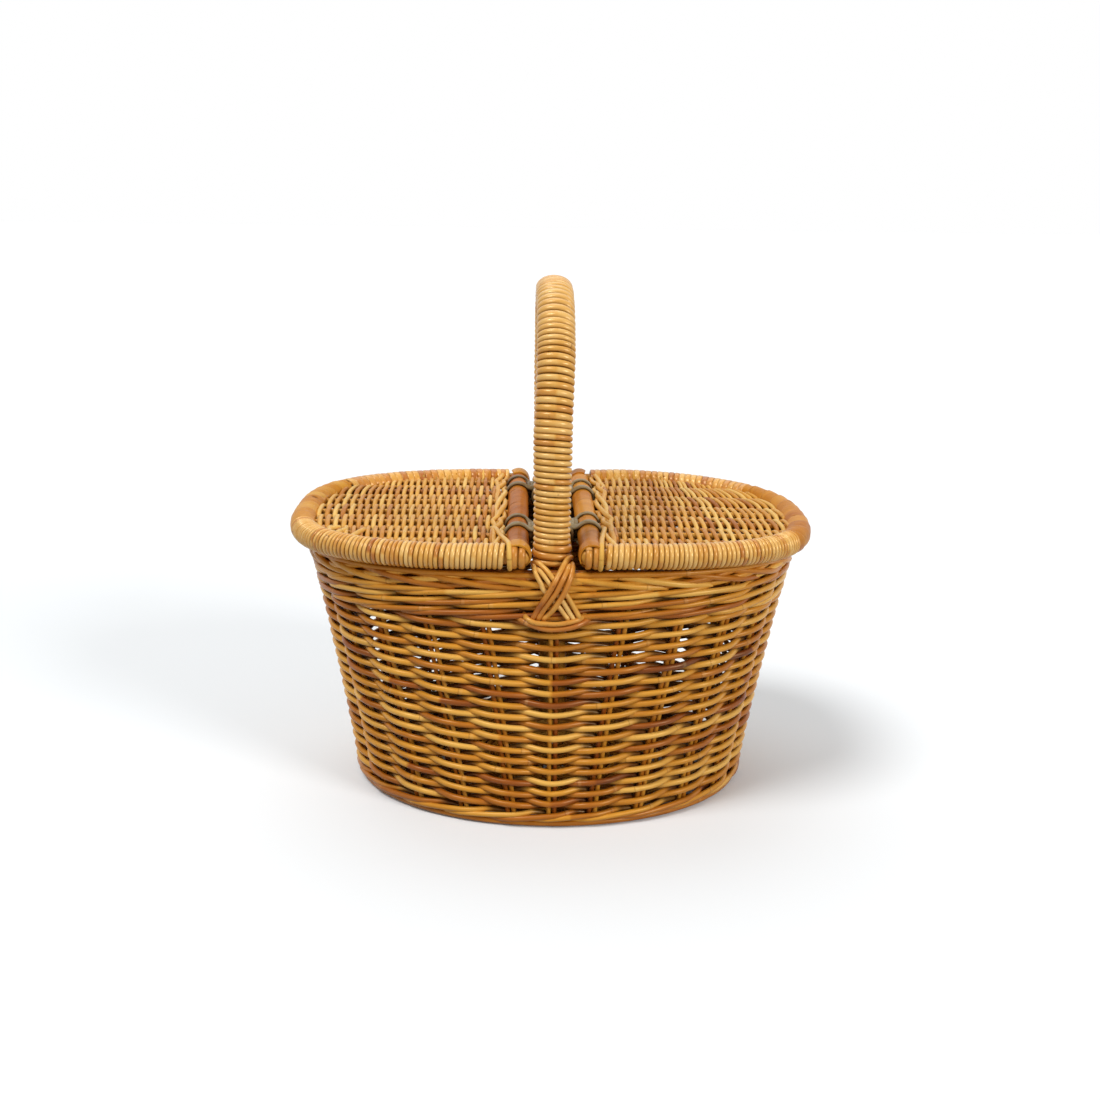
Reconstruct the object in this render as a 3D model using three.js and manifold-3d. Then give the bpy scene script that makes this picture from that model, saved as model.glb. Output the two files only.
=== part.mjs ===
// An oval rattan picnic basket with a fixed hoop handle and two hinged half lids.
// Millimetres. X runs along the basket, Y from front to back, Z up, and the floor is Z = 0.
// The woven walls, base and lid panels are closed solids with the main relief of their weave; the
// stakes, canes, windings and lashings in and on them are separate pieces.
import * as THREE from 'three';
import Module from 'manifold-3d';
import { mergeVertices, toCreasedNormals } from 'three/addons/utils/BufferGeometryUtils.js';

const wasm = await Module();
wasm.setup();

// Plan of the lids, over their wound rims
const LID_LENGTH = 420;
const LID_DEPTH = 310;
const LID_SQUARENESS = 2.9; // exponent of the oval: 2 is an ellipse

// Walls
const BASE_LENGTH = 327;
const BASE_DEPTH = 276;
const BASE_SQUARENESS = 2;
const RIM_SQUARENESS = 2.7;
const LID_OVERHANG_ENDS = 11;
const LID_OVERHANG_FRONT = 8;
const WALL_HEIGHT = 209; // floor to the top of the rim border
const WALL_THICKNESS = 13;
const FLARE_POWER = 1.25; // above 1, the wall flares more towards the top
const WALL_LEVELS = 2;
const WEAVE_ROWS = 17;
const ROW_CREASE = 2.6; // depth of the creases between the rows
const FOOT_BORDER_HEIGHT = 14;
const FOOT_BORDER_SOLE = 6; // width of the flat ring that the basket stands on
const RIM_BORDER_HEIGHT = 38;
const BORDER_PROUD = 1; // how far the borders stand out of the weave
const BORDER_ROUNDING = 4;
const BASE_PANEL_THICKNESS = 8;
const BASE_PANEL_LIFT = 3;
const BASE_ROWS = 7; // ridges of weave round the underside
const BASE_ROW_CREASE = 2.5; // depth of the creases between them
const BASE_MIDDLE_SHARE = 0.3; // share of the base that the crossed sticks in its middle take up

// Stakes, set in pairs
const STAKE_PAIRS = 24;
const STAKE_ROD = 4; // diameter
const STAKE_SPREAD = 4.6; // between the two rods of a pair

// Handle
const HANDLE_TOP = 417;
const HANDLE_CORE_WIDTH = 21.5; // along X
const HANDLE_CORE_THICKNESS = 13; // across the arch
const HANDLE_SQUARENESS = 2.5; // exponent of the arch
const HANDLE_LEG_BOTTOM = 93;
const HANDLE_SPRING_RISE = 27; // from the rim border to where the legs turn into the arch
const HANDLE_LEG_POINTS = 4;
const HANDLE_STEPS = 52;

// Lid frames
const RIM_RADIUS = 10; // of the wound rim
const HOOP_RADIUS = 6;
const HOOP_STEPS = 26;
const PEEL_SHARE = 0.34; // share of the hoop under the smooth peel at the outer end
const SPINE_OFFSET = 28; // hinge axis to the middle of the basket
const SPINE_RADIUS = 5.8;
const SPINE_SKIN_RADIUS = 8.6;
const HOOP_END_REACH = 6.5; // of the hoop, past the middle of the spine's end
const LID_DROP_CLEARANCE = 1; // between the rim border and the closed lids
const PANEL_THICKNESS = 8;
const PANEL_HINGE_GAP = 13; // hinge axis to the woven panel
const RIB_SPACING = 33; // about, between the ribs' ends on the spine
const RIB_WIDTH = 5;
const WEAVE_RIB_SPACING = 39; // between the ribs inside a panel's weave
const WEAVE_STRAND_WIDTH = 5.5;
const WEAVE_OVER = 2.5; // how far a strand stands out of the panel where it passes over a rib
const WEAVE_UNDER = 1.5; // how far it lies below the panel's face between such places

// Crossbar under the handle, and the lashings that the lids turn in
const CROSSBAR_RADIUS = 11.5;
const LASH_WIDTH = 6;
const LASH_THICKNESS = 1.5;
const LASH_SPREAD = 16; // half the distance between the two turns on the spine
// Places of the lashings along Y, as shares of a spine's half length
const LASH_SHARES = { left: [-0.44, 0.7], right: [-0.38, 0.59] };
const LASH_BAR_SHARES = { left: [-0.475, 0.72], right: [-0.345, 0.57] }; // on the crossbar
const LASH_TURNS = 2;
const LASH_ARC_STEPS = 5;

// Windings
const STRAND_THICKNESS = 3.3;
const WINDING_GAP = 0.8; // between neighbouring turns, at the core's mid line
const CROWN_SHARE = 0.55; // width of a strand's outer face, as a share of its inner face
const HANDLE_TURNS = 24; // on each half of the handle
const RIM_TURNS = 14; // on each side of a lid
const END_LOOP_TURNS = 2; // in front of each end of a spine
const END_LOOP_THICKNESS = 2.3;
const TURN_STEPS = 8;
const STRAND_JOINT = 0.12; // in steps of a turn, where one strand follows another

// Cross binding at each foot of the handle
const BINDING_WIDTH = 12;
const BINDING_THICKNESS = 3.4;
const BINDING_FOOT_REACH = 12; // from the middle to the lower end's mid line
const BINDING_HEAD_REACH = 10.5;
const BINDING_OVERLAP = 6; // how far the binding turns over the rim border
const BINDING_STEPS = 12;
const BINDING_CREASE_SHARE = 0.45; // depth of the creases between its three strands

const CLEARANCE = 0.3;
const RUNNING_CLEARANCE = 0.45;
const CORE_CLEARANCE = 0.7; // between a bent cane and what is wound on it
const OVERRUN = 5; // past a face, for cuts
const ROUND_SIDES = 20;
const EDGE_ANGLE = Math.PI / 6; // the weave's edges that turn by more than this are shown sharp

const MATERIALS = {
  honey: { color: 0xc88f42, roughness: 0.5 },
  amber: { color: 0xb06a2c, roughness: 0.48 },
  pale: { color: 0xd9aa5c, roughness: 0.5 },
  peel: { color: 0xc27a35, roughness: 0.4 },
  lash: { color: 0x5d5242, roughness: 0.7 },
};

// Sizes that follow from those above
const halfLid = { x: LID_LENGTH / 2, y: LID_DEPTH / 2 };
const hingeHeight = WALL_HEIGHT + LID_DROP_CLEARANCE + RIM_RADIUS;
const footTop = FOOT_BORDER_HEIGHT;
const rimBottom = WALL_HEIGHT - RIM_BORDER_HEIGHT;
const weaveBottom = footTop + CLEARANCE;
const weaveTop = rimBottom - CLEARANCE;
const handleSpring = WALL_HEIGHT + HANDLE_SPRING_RISE;
// Each spine ends behind its hoop's loops.
const spineHalf = halfLid.y - RIM_RADIUS - HOOP_RADIUS - END_LOOP_THICKNESS - CLEARANCE;

// The outer face of the wall at a height, as half sizes and squareness.
function wallOval(z) {
  const climb = Math.max(0, z / WALL_HEIGHT) ** FLARE_POWER;
  return {
    x: THREE.MathUtils.lerp(BASE_LENGTH / 2, halfLid.x - LID_OVERHANG_ENDS, climb),
    y: THREE.MathUtils.lerp(BASE_DEPTH / 2, halfLid.y - LID_OVERHANG_FRONT, climb),
    n: THREE.MathUtils.lerp(BASE_SQUARENESS, RIM_SQUARENESS, climb),
  };
}

function ovalPoint(oval, angle, inset = 0) {
  const c = Math.cos(angle);
  const s = Math.sin(angle);
  return new THREE.Vector2(
    (oval.x - inset) * Math.sign(c) * Math.abs(c) ** (2 / oval.n),
    (oval.y - inset) * Math.sign(s) * Math.abs(s) ** (2 / oval.n),
  );
}

// Angles that divide an oval into equal lengths, from the middle of the front.
function evenAngles(oval, count) {
  const fine = 2400;
  const lengths = [0];
  const start = -Math.PI / 2;
  const angleAt = (i) => start + (2 * Math.PI * i) / fine;
  for (let i = 1; i <= fine; i++) {
    const step = ovalPoint(oval, angleAt(i)).distanceTo(ovalPoint(oval, angleAt(i - 1)));
    lengths.push(lengths[i - 1] + step);
  }
  return Array.from({ length: count }, (_, k) => {
    const target = (lengths[fine] * k) / count;
    const after = Math.max(1, lengths.findIndex((length) => length >= target));
    const [low, high] = [lengths[after - 1], lengths[after]];
    return angleAt(after - 1 + (target - low) / (high - low));
  });
}

// A closed surface through rings of points. Open ends are capped; a closed loft joins up.
function loft(rings, closed = false) {
  const sides = rings[0].length;
  const points = rings.flat();
  const index = [];
  const last = closed ? rings.length : rings.length - 1;
  for (let i = 0; i < last; i++) {
    const here = i * sides;
    const next = ((i + 1) % rings.length) * sides;
    for (let j = 0; j < sides; j++) {
      const k = (j + 1) % sides;
      index.push(here + j, next + j, next + k, here + j, next + k, here + k);
    }
  }
  if (!closed) {
    for (const [ring, turn] of [[0, 1], [rings.length - 1, -1]]) {
      const middle = points.length;
      const sum = rings[ring].reduce((total, p) => total.add(p), new THREE.Vector3());
      points.push(sum.divideScalar(sides));
      for (let j = 0; j < sides; j++) {
        const pair = [ring * sides + j, ring * sides + ((j + 1) % sides)];
        index.push(middle, ...(turn > 0 ? pair : pair.reverse()));
      }
    }
  }
  const geometry = new THREE.BufferGeometry().setFromPoints(points);
  geometry.setIndex(facingOut(points, index));
  geometry.computeVertexNormals();
  return geometry;
}

// The same triangles, turned so that they enclose a positive volume.
function facingOut(points, index) {
  let volume = 0;
  for (let i = 0; i < index.length; i += 3) {
    const [a, b, c] = [points[index[i]], points[index[i + 1]], points[index[i + 2]]];
    volume += a.dot(new THREE.Vector3().crossVectors(b, c));
  }
  return volume > 0 ? index : index.reverse();
}

function toSolid(geometry) {
  const bare = geometry.clone();
  bare.deleteAttribute('normal');
  bare.deleteAttribute('uv');
  const merged = mergeVertices(bare);
  return new wasm.Manifold(new wasm.Mesh({
    numProp: 3,
    vertProperties: new Float32Array(merged.attributes.position.array),
    triVerts: new Uint32Array(merged.index.array),
  }));
}

function toGeometry(solid) {
  const mesh = solid.getMesh();
  const geometry = new THREE.BufferGeometry();
  geometry.setAttribute('position', new THREE.BufferAttribute(mesh.vertProperties, 3));
  geometry.setIndex(new THREE.BufferAttribute(mesh.triVerts, 1));
  geometry.computeVertexNormals();
  return geometry;
}

function piece(name, geometry, material) {
  const mesh = new THREE.Mesh(geometry, new THREE.MeshStandardMaterial(MATERIALS[material]));
  mesh.name = name;
  return mesh;
}

// Two angles to each pair of stakes: one at the pair and one half way to the next.
const wallAngles = evenAngles(wallOval(WALL_HEIGHT / 2), 2 * STAKE_PAIRS);

// A band that follows the wall all the way round. Its profile is a list of [inset, height].
function wallBand(profile) {
  const rings = wallAngles.map((angle) => profile.map(([inset, z]) => {
    const p = ovalPoint(wallOval(z), angle, inset);
    return new THREE.Vector3(p.x, p.y, z);
  }));
  return loft(rings, true);
}

function wallLevels(bottom, top) {
  return Array.from({ length: WALL_LEVELS + 1 }, (_, i) => (
    THREE.MathUtils.lerp(bottom, top, i / WALL_LEVELS)));
}

// A pair of upright rods between the weave's outer and inner strands.
function stakePair(angle, levels, swell) {
  const middle = WALL_THICKNESS / 2;
  const halfDepth = STAKE_ROD / 2 + swell;
  const halfWidth = (STAKE_SPREAD + STAKE_ROD) / 2 + swell;
  const flat = STAKE_SPREAD / 2;
  const outline = [
    [halfWidth, 0], [flat, halfDepth], [-flat, halfDepth],
    [-halfWidth, 0], [-flat, -halfDepth], [flat, -halfDepth],
  ];
  const place = (z) => ovalPoint(wallOval(z), angle, middle);
  const nudge = 0.01; // radians, for the direction along the wall
  const rings = levels.map((z) => {
    const here = place(z);
    const along = ovalPoint(wallOval(z), angle + nudge, middle)
      .sub(ovalPoint(wallOval(z), angle - nudge, middle)).normalize();
    return outline.map(([u, v]) => new THREE.Vector3(
      here.x + along.x * u + along.y * v,
      here.y + along.y * u - along.x * v,
      z,
    ));
  });
  return loft(rings);
}

// A point of the weave. Between the wall's levels it runs straight, as the stakes do.
function weavePoint(faces, angle, z, inset) {
  const i = Math.min(WALL_LEVELS, Math.max(1, faces.findIndex((face) => face >= z)));
  const at = (level) => {
    const p = ovalPoint(wallOval(level), angle, inset);
    return new THREE.Vector3(p.x, p.y, level);
  };
  return at(faces[i - 1]).lerp(at(faces[i]), (z - faces[i - 1]) / (faces[i] - faces[i - 1]));
}

// The rows of weave: each stands out between two creases, most at the stakes.
function wovenRows(angles, faces) {
  const rings = [];
  for (let i = 0; i <= 2 * WEAVE_ROWS; i++) {
    const z = THREE.MathUtils.lerp(weaveBottom, weaveTop, i / (2 * WEAVE_ROWS));
    const inset = i % 2 ? 0 : ROW_CREASE;
    rings.push(angles.map((angle) => weavePoint(faces, angle, z, inset)));
  }
  return loft(rings);
}

function makeWalls(group) {
  const stakeAngles = wallAngles.filter((_, i) => i % 2 === 0);
  const faces = wallLevels(weaveBottom, weaveTop);
  const channelLevels = [weaveBottom - OVERRUN, ...faces, weaveTop + OVERRUN];
  const room = loft(channelLevels.map((z) => wallAngles.map((angle) => {
    const p = ovalPoint(wallOval(z), angle, WALL_THICKNESS);
    return new THREE.Vector3(p.x, p.y, z);
  })));
  let weave = toSolid(wovenRows(stakeAngles, faces)).subtract(toSolid(room));
  for (const angle of stakeAngles) {
    weave = weave.subtract(toSolid(stakePair(angle, channelLevels, CLEARANCE)));
  }
  group.add(piece('side_weave', toCreasedNormals(toGeometry(weave), EDGE_ANGLE), 'honey'));
  stakeAngles.forEach((angle, i) => {
    const number = String(i + 1).padStart(2, '0');
    group.add(piece(`stake_pair_${number}`, stakePair(angle, faces, 0), 'amber'));
  });

  const soleOuter = (WALL_THICKNESS - FOOT_BORDER_SOLE) / 2;
  const footMiddle = FOOT_BORDER_HEIGHT / 2;
  group.add(piece('foot_border', wallBand([
    [soleOuter, 0], [-BORDER_PROUD, footMiddle], [0, footTop],
    [WALL_THICKNESS, footTop], [WALL_THICKNESS, BASE_PANEL_LIFT], [soleOuter + FOOT_BORDER_SOLE, 0],
  ]), 'honey'));
  group.add(piece('rim_border', wallBand([
    [0, rimBottom], [-BORDER_PROUD, rimBottom + BORDER_ROUNDING],
    [-BORDER_PROUD, WALL_HEIGHT - BORDER_ROUNDING], [BORDER_ROUNDING, WALL_HEIGHT],
    [WALL_THICKNESS - BORDER_ROUNDING, WALL_HEIGHT],
    [WALL_THICKNESS, WALL_HEIGHT - BORDER_ROUNDING], [WALL_THICKNESS, rimBottom],
  ]), 'honey'));

  group.add(piece('base_panel', wovenBase(stakeAngles), 'pale'));
}

// The base: a flat top, and rows of weave underneath that go round its middle.
function wovenBase(angles) {
  const edge = wallOval(BASE_PANEL_LIFT);
  const ring = (share, z) => angles.map((angle) => {
    const p = ovalPoint(edge, angle, WALL_THICKNESS + CLEARANCE).multiplyScalar(share);
    return new THREE.Vector3(p.x, p.y, z);
  });
  const rings = [];
  for (let i = 0; i <= 2 * BASE_ROWS; i++) {
    const share = THREE.MathUtils.lerp(BASE_MIDDLE_SHARE, 1, i / (2 * BASE_ROWS));
    rings.push(ring(share, BASE_PANEL_LIFT + (i % 2 ? 0 : BASE_ROW_CREASE)));
  }
  rings.push(ring(1, BASE_PANEL_LIFT + BASE_PANEL_THICKNESS));
  return toCreasedNormals(loft(rings), EDGE_ANGLE);
}

// A bent cane: a curve in a plane, with an oval section of TURN_STEPS sides.
// "side" is square to that plane; "out" points away from the inside of the bend.
function cane(points, side, halfOut, halfSide) {
  const curve = new THREE.CatmullRomCurve3(points, false, 'centripetal');
  curve.arcLengthDivisions = 600;
  return { curve, side, halfOut, halfSide, length: curve.getLength() };
}

function canePoint(core, along, turn, lift) {
  const u = THREE.MathUtils.clamp(along / core.length, 0, 1);
  const out = new THREE.Vector3().crossVectors(core.curve.getTangentAt(u), core.side).normalize();
  return core.curve.getPointAt(u)
    .addScaledVector(out, (core.halfOut + lift) * Math.cos(turn))
    .addScaledVector(core.side, (core.halfSide + lift) * Math.sin(turn));
}

const turnAngle = (step) => (2 * Math.PI * step) / TURN_STEPS;

function caneRing(core, along, lift) {
  return Array.from({ length: TURN_STEPS }, (_, j) => canePoint(core, along, turnAngle(j), lift));
}

function caneSolid(core, from, to, steps) {
  const rings = [];
  for (let i = 0; i <= steps; i++) {
    rings.push(caneRing(core, THREE.MathUtils.lerp(from, to, i / steps), 0));
  }
  return loft(rings);
}

// A smooth sleeve of peel round a cane.
function caneSleeve(core, from, to, steps, thickness) {
  const rings = [];
  for (let i = 0; i <= steps; i++) {
    const along = THREE.MathUtils.lerp(from, to, i / steps);
    rings.push({ inner: caneRing(core, along, CORE_CLEARANCE), outer: caneRing(core, along, thickness) });
  }
  return loft(Array.from({ length: TURN_STEPS }, (_, j) => [
    ...rings.map((ring) => ring.inner[j]),
    ...rings.map((ring) => ring.outer[j]).reverse(),
  ]), true);
}

// A run of even turns between two places on a cane.
function windingRun(from, to, turns) {
  const pitch = (to - from) / (turns + 1);
  return { start: from + pitch / 2, pitch, steps: turns * TURN_STEPS };
}

// One unbroken strand wound round a cane, over the whole of a run or some of its steps.
function winding(name, core, run, thickness, firstStep = 0, lastStep = run.steps) {
  const half = (run.pitch - WINDING_GAP) / 2;
  const crown = half * CROWN_SHARE;
  const steps = [firstStep];
  for (let step = Math.floor(firstStep) + 1; step < lastStep; step++) steps.push(step);
  steps.push(lastStep);
  const rings = [];
  for (const step of steps) {
    const middle = run.start + (run.pitch * step) / TURN_STEPS;
    const corner = (shift, lift) => canePoint(core, middle + shift, turnAngle(step), lift);
    rings.push([
      corner(-half, CORE_CLEARANCE), corner(half, CORE_CLEARANCE),
      corner(crown, thickness), corner(-crown, thickness),
    ]);
  }
  reportLeastGap(name, rings);
  return loft(rings);
}

// Prints the least distance between neighbouring turns, point to point.
function reportLeastGap(name, rings) {
  let least = Infinity;
  for (let i = 0; i + TURN_STEPS < rings.length; i++) {
    for (const here of rings[i]) {
      for (const next of rings[i + TURN_STEPS]) least = Math.min(least, here.distanceTo(next));
    }
  }
  console.log(`${name}: least gap between turns ${least.toFixed(2)} mm`);
}

// Handle: the legs stand against the inside of the wall and meet in a squarish arch.
const handleLegAt = (z) => (
  wallOval(z).y - WALL_THICKNESS - CORE_CLEARANCE - HANDLE_CORE_THICKNESS / 2);
const handleLegY = handleLegAt(WALL_HEIGHT);
const handleWrapBottom = WALL_HEIGHT + 2 * CLEARANCE + BINDING_THICKNESS;

function handleCane() {
  const crown = HANDLE_TOP - STRAND_THICKNESS - HANDLE_CORE_THICKNESS / 2;
  const archPoints = 32;
  const arch = Array.from({ length: archPoints + 1 }, (_, i) => {
    const oval = { x: handleLegY, y: crown - handleSpring, n: HANDLE_SQUARENESS };
    const p = ovalPoint(oval, (Math.PI * i) / archPoints);
    return new THREE.Vector3(0, -p.x, handleSpring + p.y);
  });
  const leg = (sign) => Array.from({ length: HANDLE_LEG_POINTS }, (_, i) => {
    const z = THREE.MathUtils.lerp(HANDLE_LEG_BOTTOM, WALL_HEIGHT, i / (HANDLE_LEG_POINTS - 1));
    return new THREE.Vector3(0, sign * handleLegAt(z), z);
  });
  const points = [...leg(-1), ...arch, ...leg(1).reverse()];
  const side = new THREE.Vector3(-1, 0, 0);
  return cane(points, side, HANDLE_CORE_THICKNESS / 2, HANDLE_CORE_WIDTH / 2);
}

function makeHandle(group) {
  const core = handleCane();
  const bareLeg = handleWrapBottom - HANDLE_LEG_BOTTOM;
  const run = windingRun(bareLeg, core.length - bareLeg, 2 * HANDLE_TURNS);
  const middle = run.steps / 2;
  group.add(piece('handle_cane', caneSolid(core, 0, core.length, HANDLE_STEPS), 'pale'));
  const front = winding(
    'handle_winding_front', core, run, STRAND_THICKNESS, 0, middle - STRAND_JOINT);
  const back = winding(
    'handle_winding_back', core, run, STRAND_THICKNESS, middle + STRAND_JOINT, run.steps);
  group.add(piece('handle_winding_front', front, 'pale'));
  group.add(piece('handle_winding_back', back, 'pale'));
}

// A band of three strands from one side of the handle's foot, down across the rim border.
// The second band passes over the first, so it stands out by one thickness more.
function bindingBand(lean, layer) {
  const wallFace = halfLid.y - LID_OVERHANG_FRONT + BORDER_PROUD;
  const bottom = rimBottom + CLEARANCE;
  const level = WALL_HEIGHT + CLEARANCE + BINDING_THICKNESS / 2;
  const faceY = (z) => wallOval(z).y + BORDER_PROUD + CLEARANCE
    + (layer + 1 / 2) * BINDING_THICKNESS + layer * CLEARANCE;
  const foot = new THREE.Vector3(-lean * BINDING_FOOT_REACH, -faceY(bottom), bottom);
  const waist = new THREE.Vector3(0, -faceY((bottom + level) / 2), (bottom + level) / 2);
  const bend = WALL_HEIGHT - BORDER_ROUNDING;
  const head = new THREE.Vector3(lean * BINDING_HEAD_REACH, -faceY(bend), bend);
  const over = new THREE.Vector3(lean * BINDING_HEAD_REACH, BINDING_OVERLAP - wallFace, level);
  const knee = new THREE.Vector3(lean * BINDING_HEAD_REACH, -faceY(bend), level);
  const path = new THREE.CurvePath();
  path.add(new THREE.QuadraticBezierCurve3(foot, waist, head));
  path.add(new THREE.QuadraticBezierCurve3(head, knee, over));
  const half = BINDING_WIDTH / 2;
  const depth = BINDING_THICKNESS / 2;
  const crease = depth * (1 - BINDING_CREASE_SHARE);
  const outline = [
    [half, 0], [half * (2 / 3), depth], [half / 3, crease], [0, depth], [-half / 3, crease],
    [-half * (2 / 3), depth], [-half, 0], [-half * (2 / 3), -depth], [half * (2 / 3), -depth],
  ];
  const across = new THREE.Vector3();
  const rings = [];
  for (let i = 0; i <= BINDING_STEPS; i++) {
    const u = i / BINDING_STEPS;
    const tangent = path.getTangentAt(u);
    const flat = new THREE.Vector3(0, -tangent.z, tangent.y).normalize();
    across.crossVectors(tangent, flat).normalize();
    const lift = new THREE.Vector3().crossVectors(across, tangent).normalize();
    const point = path.getPointAt(u);
    rings.push(outline.map(([w, t]) => point.clone()
      .addScaledVector(across, w).addScaledVector(lift, t)));
  }
  return loft(rings);
}

function makeBindings(group) {
  for (const [end, turn] of [['front', 0], ['back', Math.PI]]) {
    const foot = new THREE.Group();
    foot.rotation.z = turn;
    foot.add(piece(`cross_binding_${end}_under`, bindingBand(-1, 0), 'pale'));
    foot.add(piece(`cross_binding_${end}_over`, bindingBand(1, 1), 'amber'));
    group.add(foot);
  }
}

// A round rod along Y.
function rodAlongY(radius, length) {
  return new THREE.CylinderGeometry(radius, radius, length, ROUND_SIDES);
}

// A lashing: one flat strap that goes twice round the crossbar and a lid's spine. Its turns lie
// apart on the spine and side by side on the crossbar.
function lashing(direction, spinePlace, barPlace) {
  const half = LASH_THICKNESS / 2;
  const barTurn = CROSSBAR_RADIUS + CLEARANCE + half;
  const spineTurn = SPINE_SKIN_RADIUS + RUNNING_CLEARANCE + half;
  const tilt = Math.asin((barTurn - spineTurn) / SPINE_OFFSET);
  const stops = [];
  const arc = (centre, radius, from, to, onSpine) => {
    const step = (to - from) / LASH_ARC_STEPS;
    for (let i = 0; i < LASH_ARC_STEPS; i++) {
      const angle = from + step * (i + 1 / 2);
      stops.push({ centre, radius, angle, stretch: 1 / Math.cos(step / 2), onSpine });
    }
  };
  arc(0, barTurn, Math.PI / 2 - tilt, (3 * Math.PI) / 2 + tilt, false);
  arc(SPINE_OFFSET, spineTurn, -Math.PI / 2 + tilt, Math.PI / 2 - tilt, true);
  const count = LASH_TURNS * stops.length - 2;
  const barSpread = (LASH_WIDTH + CLEARANCE) / 2;
  const first = Math.ceil(LASH_ARC_STEPS / 2);
  const rings = [];
  for (let i = 0; i <= count; i++) {
    const stop = stops[(i + first) % stops.length];
    const side = Math.sign(i - count / 2);
    const place = stop.onSpine ? spinePlace + side * LASH_SPREAD : barPlace + side * barSpread;
    const corner = (width, lift) => {
      const radius = (stop.radius + lift) * stop.stretch;
      return new THREE.Vector3(
        direction * (stop.centre + radius * Math.cos(stop.angle)),
        place + width,
        hingeHeight + radius * Math.sin(stop.angle),
      );
    };
    rings.push([
      corner(-LASH_WIDTH / 2, -half), corner(LASH_WIDTH / 2, -half),
      corner(LASH_WIDTH / 2, half), corner(-LASH_WIDTH / 2, half),
    ]);
  }
  return loft(rings);
}

function makeCrossbar(group) {
  const reach = handleLegY - HANDLE_CORE_THICKNESS / 2 - STRAND_THICKNESS - CLEARANCE;
  const bar = piece('crossbar', rodAlongY(CROSSBAR_RADIUS, 2 * reach), 'peel');
  bar.position.z = hingeHeight;
  group.add(bar);
  for (const [side, direction] of [['left', -1], ['right', 1]]) {
    LASH_SHARES[side].forEach((share, i) => {
      const name = `${side}_lashing_${i === 0 ? 'front' : 'back'}`;
      const strap = lashing(direction, share * spineHalf, LASH_BAR_SHARES[side][i] * spineHalf);
      group.add(piece(name, strap, 'lash'));
    });
  }
}

// The right lid, in the basket's own frame; the left one is the same, turned half round.
function makeLid(group, side, turn) {
  const lid = new THREE.Group();
  lid.rotation.z = turn;
  const middle = { x: halfLid.x - RIM_RADIUS, y: halfLid.y - RIM_RADIUS, n: LID_SQUARENESS };
  const hoopStart = SPINE_OFFSET - HOOP_END_REACH;
  const startAngle = Math.acos((hoopStart / middle.x) ** (middle.n / 2));
  const hoopPoints = 36;
  const points = Array.from({ length: hoopPoints + 1 }, (_, i) => {
    const p = ovalPoint(middle, THREE.MathUtils.lerp(-startAngle, startAngle, i / hoopPoints));
    return new THREE.Vector3(p.x, p.y, hingeHeight);
  });
  const core = cane(points, new THREE.Vector3(0, 0, 1), HOOP_RADIUS, HOOP_RADIUS);
  const thickness = RIM_RADIUS - HOOP_RADIUS;
  const peelFrom = (core.length * (1 - PEEL_SHARE)) / 2;
  const peelTo = core.length - peelFrom;
  const name = (part) => `${side}_lid_${part}`;
  lid.add(piece(name('hoop'), caneSolid(core, 0, core.length, HOOP_STEPS), 'honey'));
  const wound = HOOP_END_REACH + SPINE_SKIN_RADIUS;
  const loops = 2 * HOOP_END_REACH;
  const windings = [
    ['winding_front', wound, peelFrom, RIM_TURNS, thickness, 'pale'],
    ['winding_back', peelTo, core.length - wound, RIM_TURNS, thickness, 'pale'],
    ['end_loops_front', 0, loops, END_LOOP_TURNS, END_LOOP_THICKNESS, 'amber'],
    ['end_loops_back', core.length - loops, core.length, END_LOOP_TURNS, END_LOOP_THICKNESS, 'amber'],
  ];
  for (const [part, from, to, turns, strand, material] of windings) {
    const strandSolid = winding(name(part), core, windingRun(from, to, turns), strand);
    lid.add(piece(name(part), strandSolid, material));
  }
  const sleeveSteps = Math.ceil(HOOP_STEPS * PEEL_SHARE) + 2;
  const peel = caneSleeve(core, peelFrom, peelTo, sleeveSteps, thickness);
  lid.add(piece(name('end_peel'), peel, 'peel'));

  // The spine turns about its own axis in the lashings.
  const spine = rodAlongY(SPINE_RADIUS, 2 * spineHalf);
  spine.translate(SPINE_OFFSET, 0, hingeHeight);
  lid.add(piece(name('spine'), spine, 'honey'));
  const skinProfile = [
    new THREE.Vector2(SPINE_RADIUS + CLEARANCE, -spineHalf),
    new THREE.Vector2(SPINE_SKIN_RADIUS, -spineHalf),
    new THREE.Vector2(SPINE_SKIN_RADIUS, spineHalf),
    new THREE.Vector2(SPINE_RADIUS + CLEARANCE, spineHalf),
    new THREE.Vector2(SPINE_RADIUS + CLEARANCE, -spineHalf),
  ];
  const skin = new THREE.LatheGeometry(skinProfile, ROUND_SIDES);
  skin.translate(SPINE_OFFSET, 0, hingeHeight);
  lid.add(piece(name('spine_skin'), skin, 'peel'));
  const faces = Math.cos(turn);
  const ribs = ribPlaces(LASH_SHARES[side].map((share) => share * spineHalf * faces));
  lid.add(piece(name('panel'), panelSolid(middle, ribs), 'honey'));
  group.add(lid);
}

// Where ribs meet the spine: spread over each stretch that the lashings' turns leave free.
function ribPlaces(lashPlaces) {
  const turns = lashPlaces.flatMap((place) => [place - LASH_SPREAD, place + LASH_SPREAD]);
  const stops = [-spineHalf, ...turns, spineHalf].sort((a, b) => a - b);
  return stops.slice(1).flatMap((end, i) => {
    const stretch = end - stops[i];
    const fits = stretch > LASH_WIDTH + RIB_WIDTH + 2 * CLEARANCE;
    const count = fits ? Math.max(1, Math.round(stretch / RIB_SPACING)) : 0;
    return Array.from({ length: count }, (_, k) => stops[i] + (stretch * (k + 1 / 2)) / count);
  });
}

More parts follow.
